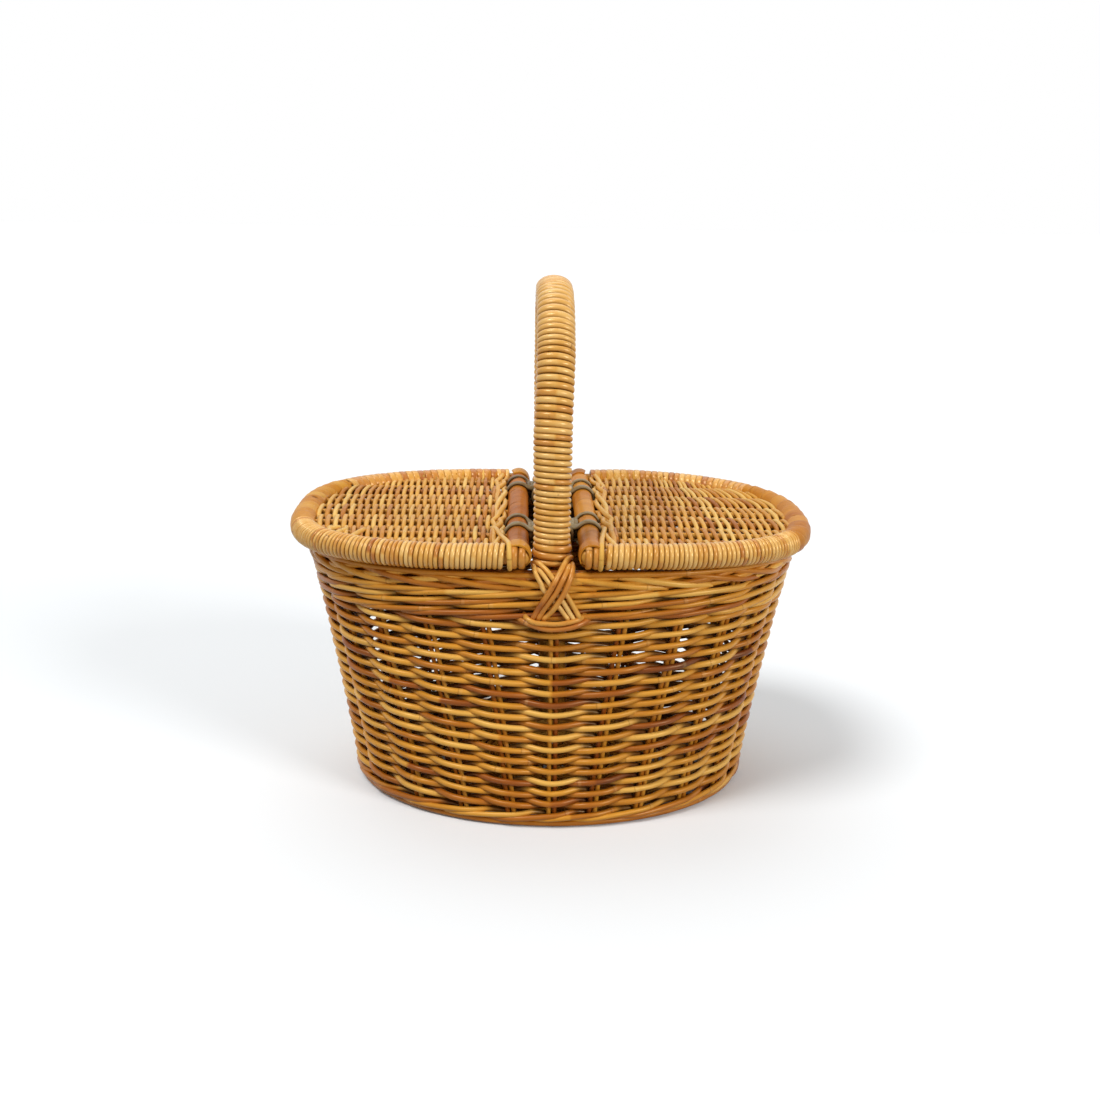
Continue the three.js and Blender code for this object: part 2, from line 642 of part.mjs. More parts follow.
// A slab whose top has the weave's relief: strands along Y, over one rib and under the next.
function wovenSlab(inner, far, halfDepth) {
  const strands = Math.round((far - inner) / WEAVE_STRAND_WIDTH);
  const ribs = Math.ceil(halfDepth / WEAVE_RIB_SPACING);
  const bottom = hingeHeight - PANEL_THICKNESS / 2;
  const top = hingeHeight + PANEL_THICKNESS / 2;
  const xs = [inner - PANEL_HINGE_GAP];
  for (let i = 0; i <= strands; i++) xs.push(THREE.MathUtils.lerp(inner, far, i / strands));
  const columns = xs.length;
  const points = [];
  for (let k = -ribs; k <= ribs; k++) {
    xs.forEach((x, i) => {
      const over = i > 1 && (i + k) % 2 === 0;
      const z = over ? top + WEAVE_OVER : top - WEAVE_UNDER;
      points.push(new THREE.Vector3(x, k * WEAVE_RIB_SPACING, z));
    });
  }
  const under = points.length;
  points.push(...points.map((p) => new THREE.Vector3(p.x, p.y, bottom)));
  const index = [];
  const quad = (a, b, c, d) => index.push(a, b, c, a, c, d);
  for (let k = 0; k < 2 * ribs; k++) {
    for (let i = 0; i + 1 < columns; i++) {
      const [a, b] = [k * columns + i, k * columns + i + 1];
      const [c, d] = [b + columns, a + columns];
      // The crease runs between the two corners that lie low.
      if ((i + k - ribs) % 2 === 0) quad(b, c, d, a);
      else quad(a, b, c, d);
      quad(under + a, under + d, under + c, under + b);
    }
  }
  const side = (a, b) => quad(under + a, under + b, b, a);
  const last = 2 * ribs * columns;
  for (let i = 0; i + 1 < columns; i++) {
    side(i, i + 1);
    side(last + i + 1, last + i);
  }
  for (let k = 0; k < 2 * ribs; k++) {
    side((k + 1) * columns, k * columns);
    side((k + 1) * columns - 1, (k + 2) * columns - 1);
  }
  const geometry = new THREE.BufferGeometry().setFromPoints(points);
  geometry.setIndex(facingOut(points, index));
  return geometry;
}

// The woven panel, with the ends of its ribs reaching to the spine.
function panelSolid(middle, ribs) {
  const inner = SPINE_OFFSET + PANEL_HINGE_GAP;
  const ribEnd = SPINE_OFFSET + SPINE_SKIN_RADIUS + CLEARANCE;
  const inset = RIM_RADIUS + CLEARANCE;
  const edge = { x: middle.x - inset, y: middle.y - inset, n: middle.n };
  const startAngle = Math.acos((inner / edge.x) ** (edge.n / 2));
  const edgePoints = 36;
  const outline = Array.from({ length: edgePoints + 1 }, (_, i) => (
    ovalPoint(edge, THREE.MathUtils.lerp(-startAngle, startAngle, i / edgePoints))));
  for (const y of ribs.reverse()) {
    const [far, near] = [y + RIB_WIDTH / 2, y - RIB_WIDTH / 2];
    outline.push(new THREE.Vector2(inner, far), new THREE.Vector2(ribEnd, far));
    outline.push(new THREE.Vector2(ribEnd, near), new THREE.Vector2(inner, near));
  }
  const plan = new THREE.ExtrudeGeometry(
    new THREE.Shape(outline), { depth: 2 * PANEL_THICKNESS, bevelEnabled: false });
  plan.translate(0, 0, hingeHeight - PANEL_THICKNESS);
  const woven = toSolid(plan).intersect(toSolid(wovenSlab(inner, edge.x, edge.y)));
  return toCreasedNormals(toGeometry(woven), EDGE_ANGLE);
}

const basket = new THREE.Group();
makeWalls(basket);
makeHandle(basket);
makeBindings(basket);
makeCrossbar(basket);
makeLid(basket, 'right', 0);
makeLid(basket, 'left', Math.PI);

export default basket;
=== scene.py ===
"""The looks of an oval rattan picnic basket with a hoop handle and two hinged half lids.

Every cane is a tube along its own path. Paths and sizes are in millimetres, in the frame of the
basket: X along it, Y from front to back, Z up. Meshes are made in metres.
"""

import math
import zlib

import bpy
import numpy as np
from mathutils import Matrix, Vector


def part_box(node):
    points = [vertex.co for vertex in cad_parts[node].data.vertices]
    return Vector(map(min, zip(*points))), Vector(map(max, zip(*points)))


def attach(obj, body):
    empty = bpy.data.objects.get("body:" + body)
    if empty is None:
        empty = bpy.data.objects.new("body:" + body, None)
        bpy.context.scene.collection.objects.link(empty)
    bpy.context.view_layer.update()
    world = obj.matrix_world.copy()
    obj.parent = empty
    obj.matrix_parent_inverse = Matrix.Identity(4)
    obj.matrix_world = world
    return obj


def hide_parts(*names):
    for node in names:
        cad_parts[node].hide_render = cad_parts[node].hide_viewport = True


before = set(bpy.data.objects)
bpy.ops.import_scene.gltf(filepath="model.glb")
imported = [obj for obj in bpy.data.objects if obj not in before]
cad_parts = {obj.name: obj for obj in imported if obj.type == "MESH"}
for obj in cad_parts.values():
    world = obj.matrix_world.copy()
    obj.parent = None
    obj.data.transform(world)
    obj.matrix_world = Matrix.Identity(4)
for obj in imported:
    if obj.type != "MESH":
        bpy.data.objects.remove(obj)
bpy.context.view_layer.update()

MM = 0.001


# Sizes that come from the frame

def box_mm(node):
    """The low corner, the high corner and the half size of a node, in millimetres."""
    low, high = (np.array(corner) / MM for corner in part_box(node))
    return low, high, (high - low) / 2


LOW, HIGH, HALF = range(3)
X, Y, Z = range(3)
band_box, base_box, core_box, bar_box = (
    box_mm(node) for node in ("rim_border", "base_panel", "handle_cane", "crossbar"))
hoop_box, spine_box, peel_box = (
    box_mm(f"right_lid_{part}") for part in ("hoop", "spine", "end_peel"))
WALL_TOP, BAND_BOTTOM = band_box[HIGH][Z], band_box[LOW][Z]
BASE_TOP, BASE_LOW = base_box[HIGH][Z], base_box[LOW][Z]
FOOT_TOP = box_mm("foot_border")[HIGH][Z]
CORE_HALF_X, CORE_TOP, LEG_BOTTOM = core_box[HALF][X], core_box[HIGH][Z], core_box[LOW][Z]
BAR_RADIUS, BAR_REACH = bar_box[HALF][Z], bar_box[HALF][Y]
SPINE_X = spine_box[LOW][X] + spine_box[HALF][X]
HINGE_Z = spine_box[HIGH][Z] - spine_box[HALF][Z]
SPINE_HALF, SPINE_RADIUS = spine_box[HALF][Y], spine_box[HALF][Z]
SPINE_SKIN = box_mm("right_lid_spine_skin")[HALF][Z] + 0.5
HOOP_RADIUS, HOOP_END_X = hoop_box[HALF][Z], hoop_box[LOW][X]
RIM_RADIUS, LID_HALF_X = peel_box[HALF][Z], peel_box[HIGH][X]
LID_HALF_Y = box_mm("right_lid_winding_back")[HIGH][Y]

# Sizes that the frame's boxes don't give
PAIRS = 24  # pairs of stakes round the wall
BASE_HALF = (163.5, 138.0)
LID_OVERHANG = (11.0, 8.0)
BASE_SQUARE = 2.0  # power of the ovals: 2 is an ellipse, and more is squarer
RIM_SQUARE = 2.7
LID_SQUARE = 2.9
FLARE_POWER = 1.25
WALL_BULGE = 1.2
WALL_THICK = 13.0
WALL_MIDDLE = WALL_THICK / 2
STAKE_RADIUS = 2.0
STAKE_SPREAD = 4.6
PEEL_SHARE = 0.34  # share of a lid's hoop that its peel covers
HANDLE_SPRING = 236.0  # height at which the handle's arch begins
HANDLE_SQUARE = 2.5
HANDLE_BOW = 2.2  # how far the front leg bows, and the height where the bow has ended
HANDLE_BOW_TOP = 372.0
CORE_HALF_THICK = 6.5  # of the handle's cane, from front to back
LEG_INSET = 20.2  # from the wall's outer face to the middle of a leg


def unit(v):
    return v / np.maximum(np.linalg.norm(v, axis=-1, keepdims=True), 1e-9)


def seeded(name):
    return np.random.default_rng(zlib.crc32(name.encode()))


def lerp(a, b, t):
    return a + (b - a) * t


def smooth(t):
    t = np.clip(t, 0, 1)
    return t * t * (3 - 2 * t)


def squared_off(v, square):
    """The cosines or sines of a circle, turned into those of a squarer oval."""
    return np.sign(v) * np.abs(v) ** (2 / square)


def oval(half_x, half_y, square, angle):
    return np.stack([half_x * squared_off(np.cos(angle), square),
                     half_y * squared_off(np.sin(angle), square)], -1)


def lengths(points):
    """How far along a path each of its points lies."""
    return np.concatenate([[0], np.cumsum(np.linalg.norm(np.diff(points, axis=0), axis=1))])


class Wall:
    """The wall's outer face. Places along it are counted in stake pairs from the front's middle."""

    STEP = 5.0
    SAMPLES = 40

    def __init__(self):
        angles = np.linspace(-math.pi / 2, 1.5 * math.pi, 4801)
        middle = lengths(self.level(WALL_TOP / 2, angles))
        stakes = np.interp(np.arange(PAIRS + 1) / PAIRS * middle[-1], middle, angles)
        self.low = -self.STEP
        points, normals = [], []
        for z in np.arange(self.low, WALL_TOP + 3 * self.STEP, self.STEP):
            outline = self.level(z, angles)
            along = lengths(outline)
            places = np.arange(PAIRS * self.SAMPLES) / self.SAMPLES
            at = np.interp(places, np.arange(PAIRS + 1), np.interp(stakes, angles, along))
            p = np.stack([np.interp(at, along, outline[:, i]) for i in (0, 1)], -1)
            t = unit(np.roll(p, -2, 0) - np.roll(p, 2, 0))
            points.append(p)
            normals.append(np.stack([t[:, 1], -t[:, 0]], -1))
        self.table = np.concatenate([points, normals], -1)

    @staticmethod
    def level(z, angles):
        """The wall's outline at one height."""
        climb = max(0.0, z / WALL_TOP) ** FLARE_POWER
        bulge = WALL_BULGE * math.sin(math.pi * min(1.0, max(0.0, z / WALL_TOP)) ** 0.7)
        return oval(
            lerp(BASE_HALF[0], LID_HALF_X - LID_OVERHANG[0], climb) + bulge,
            lerp(BASE_HALF[1], LID_HALF_Y - LID_OVERHANG[1], climb) + bulge,
            lerp(BASE_SQUARE, RIM_SQUARE, climb), angles)

    def at(self, place, z, inset):
        """Points at these places and heights, this far inside the outer face."""
        place, z, inset = np.broadcast_arrays(*(np.asarray(v, float) for v in (place, z, inset)))
        row = np.clip((z - self.low) / self.STEP, 0, len(self.table) - 1.001)
        column = (place % PAIRS) * self.SAMPLES
        r, c = row.astype(int), column.astype(int) % (PAIRS * self.SAMPLES)
        fr, fc = (row - r)[:, None], (column - np.floor(column))[:, None]
        c2 = (c + 1) % (PAIRS * self.SAMPLES)
        low = lerp(self.table[r, c], self.table[r, c2], fc)
        high = lerp(self.table[r + 1, c], self.table[r + 1, c2], fc)
        here = lerp(low, high, fr)
        return np.column_stack([here[:, :2] - here[:, 2:] * inset[:, None], z])

    def out(self, place, z):
        """The ways out of the wall."""
        return unit(self.at(place, z, 0.0) - self.at(place, z, 1.0))


class Curve:
    """A path that is read by the length along it."""

    REACH = 2.0

    def __init__(self, points):
        self.points = np.asarray(points, float)
        self.along = lengths(self.points)
        self.length = self.along[-1]

    def at(self, along):
        return np.stack([np.interp(along, self.along, self.points[:, i]) for i in range(3)], -1)

    def tangent(self, along):
        along = np.clip(along, self.REACH, self.length - self.REACH)
        return unit(self.at(along + self.REACH) - self.at(along - self.REACH))


def soft_path(points, count):
    """A smooth path through a few points (Catmull-Rom)."""
    p = np.asarray(points, float)
    p = np.vstack([2 * p[0] - p[1], p, 2 * p[-1] - p[-2]])
    out = []
    for i in range(1, len(p) - 2):
        t = np.linspace(0, 1, count, endpoint=i == len(p) - 3)[:, None]
        a, b, c, d = p[i - 1:i + 3]
        out.append(0.5 * (2 * b + (c - a) * t + (2 * a - 5 * b + 4 * c - d) * t ** 2
                          + (3 * b - a - 3 * c + d) * t ** 3))
    return np.vstack(out)


KNUCKLE_SPACING = 170.0
KNUCKLE_WIDTH = 2.2  # half the length of cane that a knuckle thickens
WINDING_SPACING = 760.0  # between the knuckles of the strands that are wound
END_LENGTH = 0.45  # a cane's rounded end: its length and the width of its tip, in radii
END_TAPER = 0.62


class Canes:
    """The canes of one piece, with the grain and tone of each, and the painted shade on it (its
    bare attribute, 1 where the cane is fully lit).
    """

    def __init__(self, name, sides=8, spacing=KNUCKLE_SPACING):
        self.name = name
        self.sides = sides
        self.spacing = spacing
        self.rng = seeded(name)
        self.verts, self.faces, self.grain, self.tone, self.bare = [], [], [], [], []
        self.count = 0

    def drift(self, n, spacing=9):
        """Slow random values, with one knot for so many of the n points."""
        knots = self.rng.normal(0, 1, max(2, n // spacing + 2))
        return np.interp(np.linspace(0, len(knots) - 1, n), np.arange(len(knots)), knots)

    def add(self, path, radius, tone, up=(0, 0, 1), thick=1.0, wide=1.0, closed=False, bare=1.0,
            square=2.0, wobble=0.03, flanks=0.0, under=0.0):
        """One cane along a path. Thick is its half size along up and wide the one across, both in
        radii. Bare is 1 where the cane is fully lit and lower where shade is painted into its
        colour; flanks and under paint more shade on its sides and on its lower face."""
        path = np.asarray(path, float)
        n = len(path)
        up = np.broadcast_to(np.asarray(up, float), path.shape)
        radius, tone, bare, thick, wide = (
            np.broadcast_to(v, n).astype(float) for v in (radius, tone, bare, thick, wide))
        along = lengths(path) + self.rng.uniform(0, 900)
        knuckle = (along / self.spacing) % 1 - 0.5
        radius *= 1 + wobble * self.drift(n) + 1.5 * wobble * np.exp(
            -(knuckle * self.spacing / KNUCKLE_WIDTH) ** 2)
        if closed:
            tangent = unit(np.roll(path, -1, 0) - np.roll(path, 1, 0))
        else:
            tangent = unit(np.gradient(path, axis=0))
            first, last = (path[i] + tangent[i] * way * END_LENGTH * radius[i]
                           for i, way in ((0, -1), (-1, 1)))
            path = np.vstack([first, path, last])
            tangent, up = (np.vstack([v[:1], v, v[-1:]]) for v in (tangent, up))
            tone, bare, thick, wide = (
                np.concatenate([v[:1], v, v[-1:]]) for v in (tone, bare, thick, wide))
            along = np.concatenate([[along[0] - 1], along, [along[-1] + 1]])
            radius = np.concatenate([[END_TAPER * radius[0]], radius, [END_TAPER * radius[-1]]])
        normal = unit(up - np.sum(up * tangent, 1, keepdims=True) * tangent)
        across = np.cross(tangent, normal)
        theta = 2 * np.pi * np.arange(self.sides) / self.sides
        a = (radius * thick)[:, None] * squared_off(np.cos(theta), square)
        b = (radius * wide)[:, None] * squared_off(np.sin(theta), square)
        points = path[:, None] + a[..., None] * normal[:, None] + b[..., None] * across[:, None]
        offset = self.rng.uniform(0, 300, 2)
        run = np.broadcast_to(along[:, None], a.shape)
        # Painted shade on the sides, where neighbouring canes lie, and on the lower face.
        lit_share = 1 - flanks * np.abs(np.sin(theta)) ** 6
        lit_share = lit_share - under * np.maximum(0, -np.cos(theta)) ** 2
        self.grid(points, tone[:, None], bare[:, None] * lit_share,
                  np.stack([run, a + offset[0], b + offset[1]], -1), closed)

    def grid(self, points, tone, bare, grain, closed=False):
        """A tube given as rings of points, with its ends closed or joined to each other."""
        n, sides = points.shape[:2]
        self.verts.append(points.reshape(-1, 3))
        self.grain.append(grain.reshape(-1, 3))
        self.tone.append(np.broadcast_to(tone, (n, sides)).reshape(-1))
        self.bare.append(np.broadcast_to(bare, (n, sides)).reshape(-1))
        i, j = np.ogrid[:n if closed else n - 1, :sides]
        i2, j2 = (i + 1) % n, (j + 1) % sides
        quads = np.stack([i * sides + j, i * sides + j2, i2 * sides + j2, i2 * sides + j], -1)
        self.faces += (quads.reshape(-1, 4) + self.count).tolist()
        if not closed:
            ring = self.count + np.arange(sides)
            self.faces += [ring[::-1].tolist(), (ring + (n - 1) * sides).tolist()]
        self.count += n * sides

    def build(self, body, slot, *replaced, look=""):
        """The piece's mesh. Its look has the name of its slot, unless another one is given."""
        mesh = bpy.data.meshes.new(self.name)
        mesh.from_pydata((np.vstack(self.verts) * MM).tolist(), [], self.faces)
        mesh.polygons.foreach_set("use_smooth", [len(face) == 4 for face in self.faces])
        # The bare attribute carries the painted shade to the material.
        for name, kind, field, data in (
                ("grain", "FLOAT_VECTOR", "vector", np.vstack(self.grain) * MM),
                ("tone", "FLOAT", "value", np.concatenate(self.tone)),
                ("bare", "FLOAT", "value", np.concatenate(self.bare))):
            layer = mesh.attributes.new(name, kind, "POINT")
            layer.data.foreach_set(field, np.asarray(data, np.float32).ravel())
        mesh.materials.append(LOOKS[look or slot])
        mesh.update()
        piece = bpy.data.objects.new(self.name, mesh)
        bpy.context.scene.collection.objects.link(piece)
        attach(piece, body)
        if replaced:
            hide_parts(*replaced)


# Materials

def rgb(code):
    """A hex colour as linear values."""
    parts = [int(code[i:i + 2], 16) / 255 for i in (0, 2, 4)]
    return tuple(p / 12.92 if p <= 0.04045 else ((p + 0.055) / 1.055) ** 2.4 for p in parts)


class Shader:
    """The nodes of a material or of the world."""

    def __init__(self, owner):
        owner.use_nodes = True
        self.owner, self.tree = owner, owner.node_tree

    def node(self, kind, settings=None, **inputs):
        node = self.tree.nodes.new(kind)
        for key, value in (settings or {}).items():
            setattr(node, key, value)
        for key, value in inputs.items():
            self.feed(node, key.replace("_", " "), value)
        return node

    def feed(self, node, key, value):
        """Links or sets an input, given by its name or as i and its number."""
        numbered = key[0] == "i" and key[1:].isdigit()
        socket = node.inputs[int(key[1:]) if numbered else key]
        if isinstance(value, bpy.types.NodeSocket):
            self.tree.links.new(value, socket)
        else:
            socket.default_value = value

    def math(self, operation, *values, clamp=False):
        settings = {"operation": operation, "use_clamp": clamp}
        inputs = {f"i{i}": value for i, value in enumerate(values)}
        return self.node("ShaderNodeMath", settings, **inputs).outputs[0]

    def vary(self, value, noise, amount):
        """A value, raised and lowered by a noise that has its middle at a half."""
        return self.math("MULTIPLY_ADD", self.math("SUBTRACT", noise, 0.5), amount, value)

    def noise(self, vector, scale, detail, rough=0.5):
        scaled = self.node("ShaderNodeVectorMath", {"operation": "MULTIPLY"}, i0=vector, i1=scale)
        return self.node("ShaderNodeTexNoise", Vector=scaled.outputs[0], Scale=1.0, Detail=detail,
                         Roughness=rough).outputs["Fac"]

    def remap(self, value, low, high, to_low=0.0, to_high=1.0, kind="LINEAR"):
        node = self.node("ShaderNodeMapRange", {"interpolation_type": kind}, Value=value,
                         From_Min=low, From_Max=high, To_Min=to_low, To_Max=to_high)
        return node.outputs["Result"]

    def mix(self, factor, a, b):
        a, b = ((*v, 1.0) if isinstance(v, tuple) else v for v in (a, b))
        settings = {"data_type": "RGBA", "blend_type": "MIX"}
        return self.node("ShaderNodeMix", settings, i0=factor, i6=a, i7=b).outputs[2]

    def ramp(self, value, stops):
        node = self.node("ShaderNodeValToRGB", Fac=value)
        elements = node.color_ramp.elements
        while len(elements) < len(stops):
            elements.new(0.5)
        for element, (place, code) in zip(elements, stops):
            element.position = place
            element.color = (*rgb(code), 1.0)
        return node.outputs["Color"]

    def attribute(self, name, output="Fac"):
        return self.node("ShaderNodeAttribute", {"attribute_name": name}).outputs[output]

    def seen(self):
        """1 for the rays that the camera sees, also by way of gloss or glass, and 0 for others."""
        rays = self.node("ShaderNodeLightPath").outputs
        seen = self.math("MAXIMUM", rays["Is Camera Ray"], rays["Is Glossy Ray"])
        return self.math("MAXIMUM", seen, rays["Is Transmission Ray"])


CANE_STOPS = (0.0, 0.28, 0.5, 0.68, 0.84, 1.0)
WALL_TONES = [*zip(CANE_STOPS, ("e8b254", "d3902c", "b56c18", "9a4f0e", "78370a", "481e06"))]
LID_TONES = [*zip(CANE_STOPS, ("eac06a", "d99f42", "c27f2a", "a45e18", "824110", "56290a"))]
WINDING_TONES = [*zip(CANE_STOPS, ("ecbe70", "dba046", "c57e2c", "a85d1a", "884312", "58290c"))]
PEEL_TONES = [(0.0, "dda84a"), (0.3, "c98628"), (0.55, "aa6114"), (0.78, "86420c"), (1.0, "4e2407")]
LASH_TONES = [(0.0, "96835a"), (0.4, "736040"), (0.7, "54442e"), (1.0, "34291b")]
# The first of these colours is painted shade, mixed into canes where they lie hidden or shaded.
PAINTED_SHADE, SPECK, KNUCKLE, SCAR = (rgb(code) for code in ("4a2206", "3c2010", "6a3a18", "ecca8c"))
SHEEN = (1.0, 0.76, 0.44, 1.0)


def cane_material(name, tones, rough=0.34, gloss=0.34, coat=0.03, blotch=0.42, fibre=0.16,
                  knuckles=0.6, specks=0.5, painted_shade=0.8, spacing=KNUCKLE_SPACING):
    """Old cane: blotched and fibrous, with knuckles and specks, and painted shade in its crevices
    and wherever its bare attribute is low. The noise scales are those along the cane, then across
    it."""
    sh = Shader(bpy.data.materials.new(name))
    grain = sh.attribute("grain", "Vector")
    fine = sh.noise(grain, (90, 2200, 2200), 3.0, 0.6)
    broad = sh.noise(grain, (17, 60, 60), 3.0, 0.55)
    cloud = sh.noise(grain, (70, 260, 260), 2.0, 0.6)
    value = sh.vary(sh.attribute("tone"), broad, blotch)
    value = sh.vary(value, fine, fibre)
    value = sh.vary(value, cloud, 0.22)
    run = sh.node("ShaderNodeSeparateXYZ", Vector=grain).outputs["X"]
    turn = sh.math("FRACT", sh.math("DIVIDE", run, spacing * MM))
    away = sh.math("MULTIPLY", sh.math("SUBTRACT", turn, 0.5), spacing)
    away = sh.vary(away, cloud, 1.1)
    beside = sh.math("SUBTRACT", away, 1.9)
    ring = sh.remap(sh.math("ABSOLUTE", away), 0.7, 0.15, kind="SMOOTHSTEP")
    scar = sh.remap(sh.math("ABSOLUTE", beside), 1.9, 0.6, kind="SMOOTHSTEP")
    dots = sh.remap(sh.noise(grain, (420, 700, 700), 2.0, 0.7), 0.6, 0.72)
    patch = sh.remap(sh.noise(grain, (9, 25, 25), 1.0), 0.5, 0.68)
    # Painted shade: where the bare attribute is below 1, the dark brown shade colour is mixed in.
    hidden = sh.math("SUBTRACT", 1.0, sh.attribute("bare"), clamp=True)
    colour = sh.ramp(value, tones)
    for share, amount, tint in (
            (scar, 0.32 * knuckles, SCAR), (ring, knuckles, KNUCKLE),
            (sh.math("MULTIPLY", dots, patch), specks, SPECK), (hidden, painted_shade, PAINTED_SHADE)):
        colour = sh.mix(sh.math("MULTIPLY", share, amount), colour, tint)
    height = sh.math("ADD", sh.math("MULTIPLY", fine, 0.5), sh.math("MULTIPLY", ring, 0.5))
    bump = sh.node("ShaderNodeBump", Strength=0.5, Distance=0.00022, Height=height)
    for key, value in (
            ("Base Color", colour), ("Normal", bump.outputs["Normal"]),
            ("Roughness", sh.remap(fine, 0.3, 0.7, rough - 0.06, rough + 0.1)),
            ("Specular IOR Level", gloss), ("Specular Tint", SHEEN), ("Coat Weight", coat),
            ("Coat Roughness", 0.18)):
        sh.feed(sh.tree.nodes["Principled BSDF"], key, value)
    return sh.owner


LOOKS = {name: cane_material(name, tones, **values) for name, tones, values in (
    ("weaver_cane", WALL_TONES, dict(gloss=0.5, knuckles=0.35, painted_shade=0.85)),
    ("lid_cane", LID_TONES, dict(gloss=0.16, coat=0.0, knuckles=0.4, painted_shade=0.9)),
    ("stake_cane", WALL_TONES, dict(knuckles=0.4, painted_shade=0.7)),
    ("base_cane", WALL_TONES, dict(rough=0.5)),
    ("frame_cane", LID_TONES, {}),
    ("winding_cane", WINDING_TONES, dict(rough=0.27, gloss=0.85, coat=0.15, blotch=0.3, fibre=0.12,
                                         specks=0.6, spacing=WINDING_SPACING)),
    ("binding_cane", WINDING_TONES, dict(rough=0.3, gloss=0.6, coat=0.1, blotch=0.45)),
    ("peel_wrap", PEEL_TONES, dict(rough=0.4, gloss=0.14, coat=0.0, blotch=0.34, fibre=0.2,
                                   knuckles=0.0, specks=0.6, painted_shade=0.9)),
    ("hinge_lash", LASH_TONES, dict(rough=0.4, gloss=0.35, blotch=0.4, fibre=0.8, knuckles=0.0,
                                    specks=0.2, painted_shade=0.7)),
)}

wall = Wall()
TONES = (0.08, 0.22, 0.34, 0.48, 0.62, 0.74)
TONE_SHARES = (0.12, 0.25, 0.26, 0.2, 0.12, 0.05)


def pick_tone(rng, shift=0.0):
    tone = rng.choice(TONES, p=TONE_SHARES) + rng.normal(0, 0.05) + shift
    return float(np.clip(tone, 0.02, 0.97))


def spliced_tones(rng, places, start, shortest=3, longest=9, shift=0.0):
    """A tone for each place: one cane ends and the next one starts where it is hidden."""
    cuts = [start]
    while cuts[-1] < start + PAIRS:
        cuts.append(cuts[-1] + rng.integers(shortest, longest))
    tones = np.array([pick_tone(rng, shift) for _ in cuts])
    return tones[np.searchsorted(cuts, start + (places - start) % PAIRS, side="right") - 1]


def cycle(u, table):
    """Reads a table of places and values that repeats every 2, softened a little."""
    keys, values = np.array(table).T
    nudges = np.linspace(-0.09, 0.09, 5)
    return sum(np.interp((u + nudge + 1) % 2 - 1, keys, values) for nudge in nudges) / 5


# Height and depth of a pairing strand, by its place from in front of a stake pair (0) to behind
# the next one (1). It comes up steeply, lies over the other strand's end, and sinks slowly.
PAIRING_HEIGHT = [(-1, -1.6), (-0.84, 0.4), (-0.66, 2.8), (-0.5, 3.1), (-0.34, 2.4), (-0.14, 1.6),
                  (0.1, 1.0), (0.32, 0.1), (0.5, -1.1), (0.7, -1.7), (0.85, -1.8), (1, -1.6)]
PAIRING_DEPTH = [(-1, -1), (-0.78, -0.92), (-0.5, 0.0), (-0.22, 0.92), (0, 1), (0.22, 0.92),
                 (0.5, 0.0), (0.78, -0.92), (1, -1)]
WEAVER = 2.5  # radius of the wall's strands
WEAVE_DEPTH = 4.3
ROWS = 17
ROW_STEPS = 14  # points of a strand from one stake pair to the next
BACK_OPEN = (52.0, 100.0)  # between these heights the back's weave is as open as the front's


def twined_row(canes, z, parity):
    """One strand of a twined row. The twist changes hands at the middle of the front. Low down, and
    high up round the back, where the weave is closed, the strands are fuller."""
    place = np.arange(PAIRS * ROW_STEPS) / ROW_STEPS - PAIRS / 2 + parity + 1
    place = (place + PAIRS / 2) % PAIRS - PAIRS / 2
    u = ((place - parity + 1) % 2 - 1) * np.where(place < 0, 1.0, -1.0)
    height = cycle(u, PAIRING_HEIGHT)
    level = cycle(u, PAIRING_DEPTH)
    tone = spliced_tones(canes.rng, place, parity + 1.0)
    path = wall.at(place, z + height + 0.35 * canes.drift(len(place), 20),
                   WALL_MIDDLE - WEAVE_DEPTH * level)
    full = 0.34 * smooth((np.abs(place) - 6.5) / 2.5) * (z > BACK_OPEN[1] or z < BACK_OPEN[0])
    full = full + 0.4 * smooth(np.abs(place) - 10) * (z > BACK_OPEN[1])
    # Painted shade: the strand darkens where it goes in behind a stake pair, and on its lower face.
    canes.add(path, WEAVER * canes.rng.uniform(0.94, 1.05) + full, tone, closed=True,
              bare=smooth((level + 0.7) / 0.9), under=0.25)


def make_wall():
    canes = Canes("wall_weave")
    pitch = (BAND_BOTTOM - FOOT_TOP) / ROWS
    for row in range(ROWS):
        for parity in (0, 1):
            twined_row(canes, FOOT_TOP + pitch * (row + 0.5), parity)
    canes.build("basket", "weaver_cane", "side_weave")

    stakes = Canes("wall_stakes")
    heights = np.linspace(BASE_TOP - 4, WALL_TOP - 9, 34)
    for pair in range(PAIRS):
        reddish = stakes.rng.choice((-1, 1))
        centre, ahead = (wall.at(place, heights, WALL_MIDDLE) for place in (pair, pair + 0.02))
        for side in (-1, 1):
            path = centre + unit(ahead - centre) * side * STAKE_SPREAD / 2
            path[:, 2] = heights
            tone = stakes.rng.uniform(*((0.45, 0.75) if side == reddish else (0.2, 0.45)))
            # The stakes get a little painted shade all over, as they lie behind the strands.
            stakes.add(path, STAKE_RADIUS * stakes.rng.uniform(0.82, 1.04), tone,
                       up=wall.out(pair, heights), bare=0.85)
    stakes.build("basket", "stake_cane", *[f"stake_pair_{i:02d}" for i in range(1, PAIRS + 1)])


# How far out a strand of a wale lies, by its place from the middle of the pairs it passes
WALE_PLACES = (-1.5, -1.15, -0.95, -0.6, 0.6, 0.95, 1.15, 1.5)
WALE_LEVELS = (-1.0, -0.75, 0.1, 0.95, 0.95, 0.1, -0.75, -1.0)


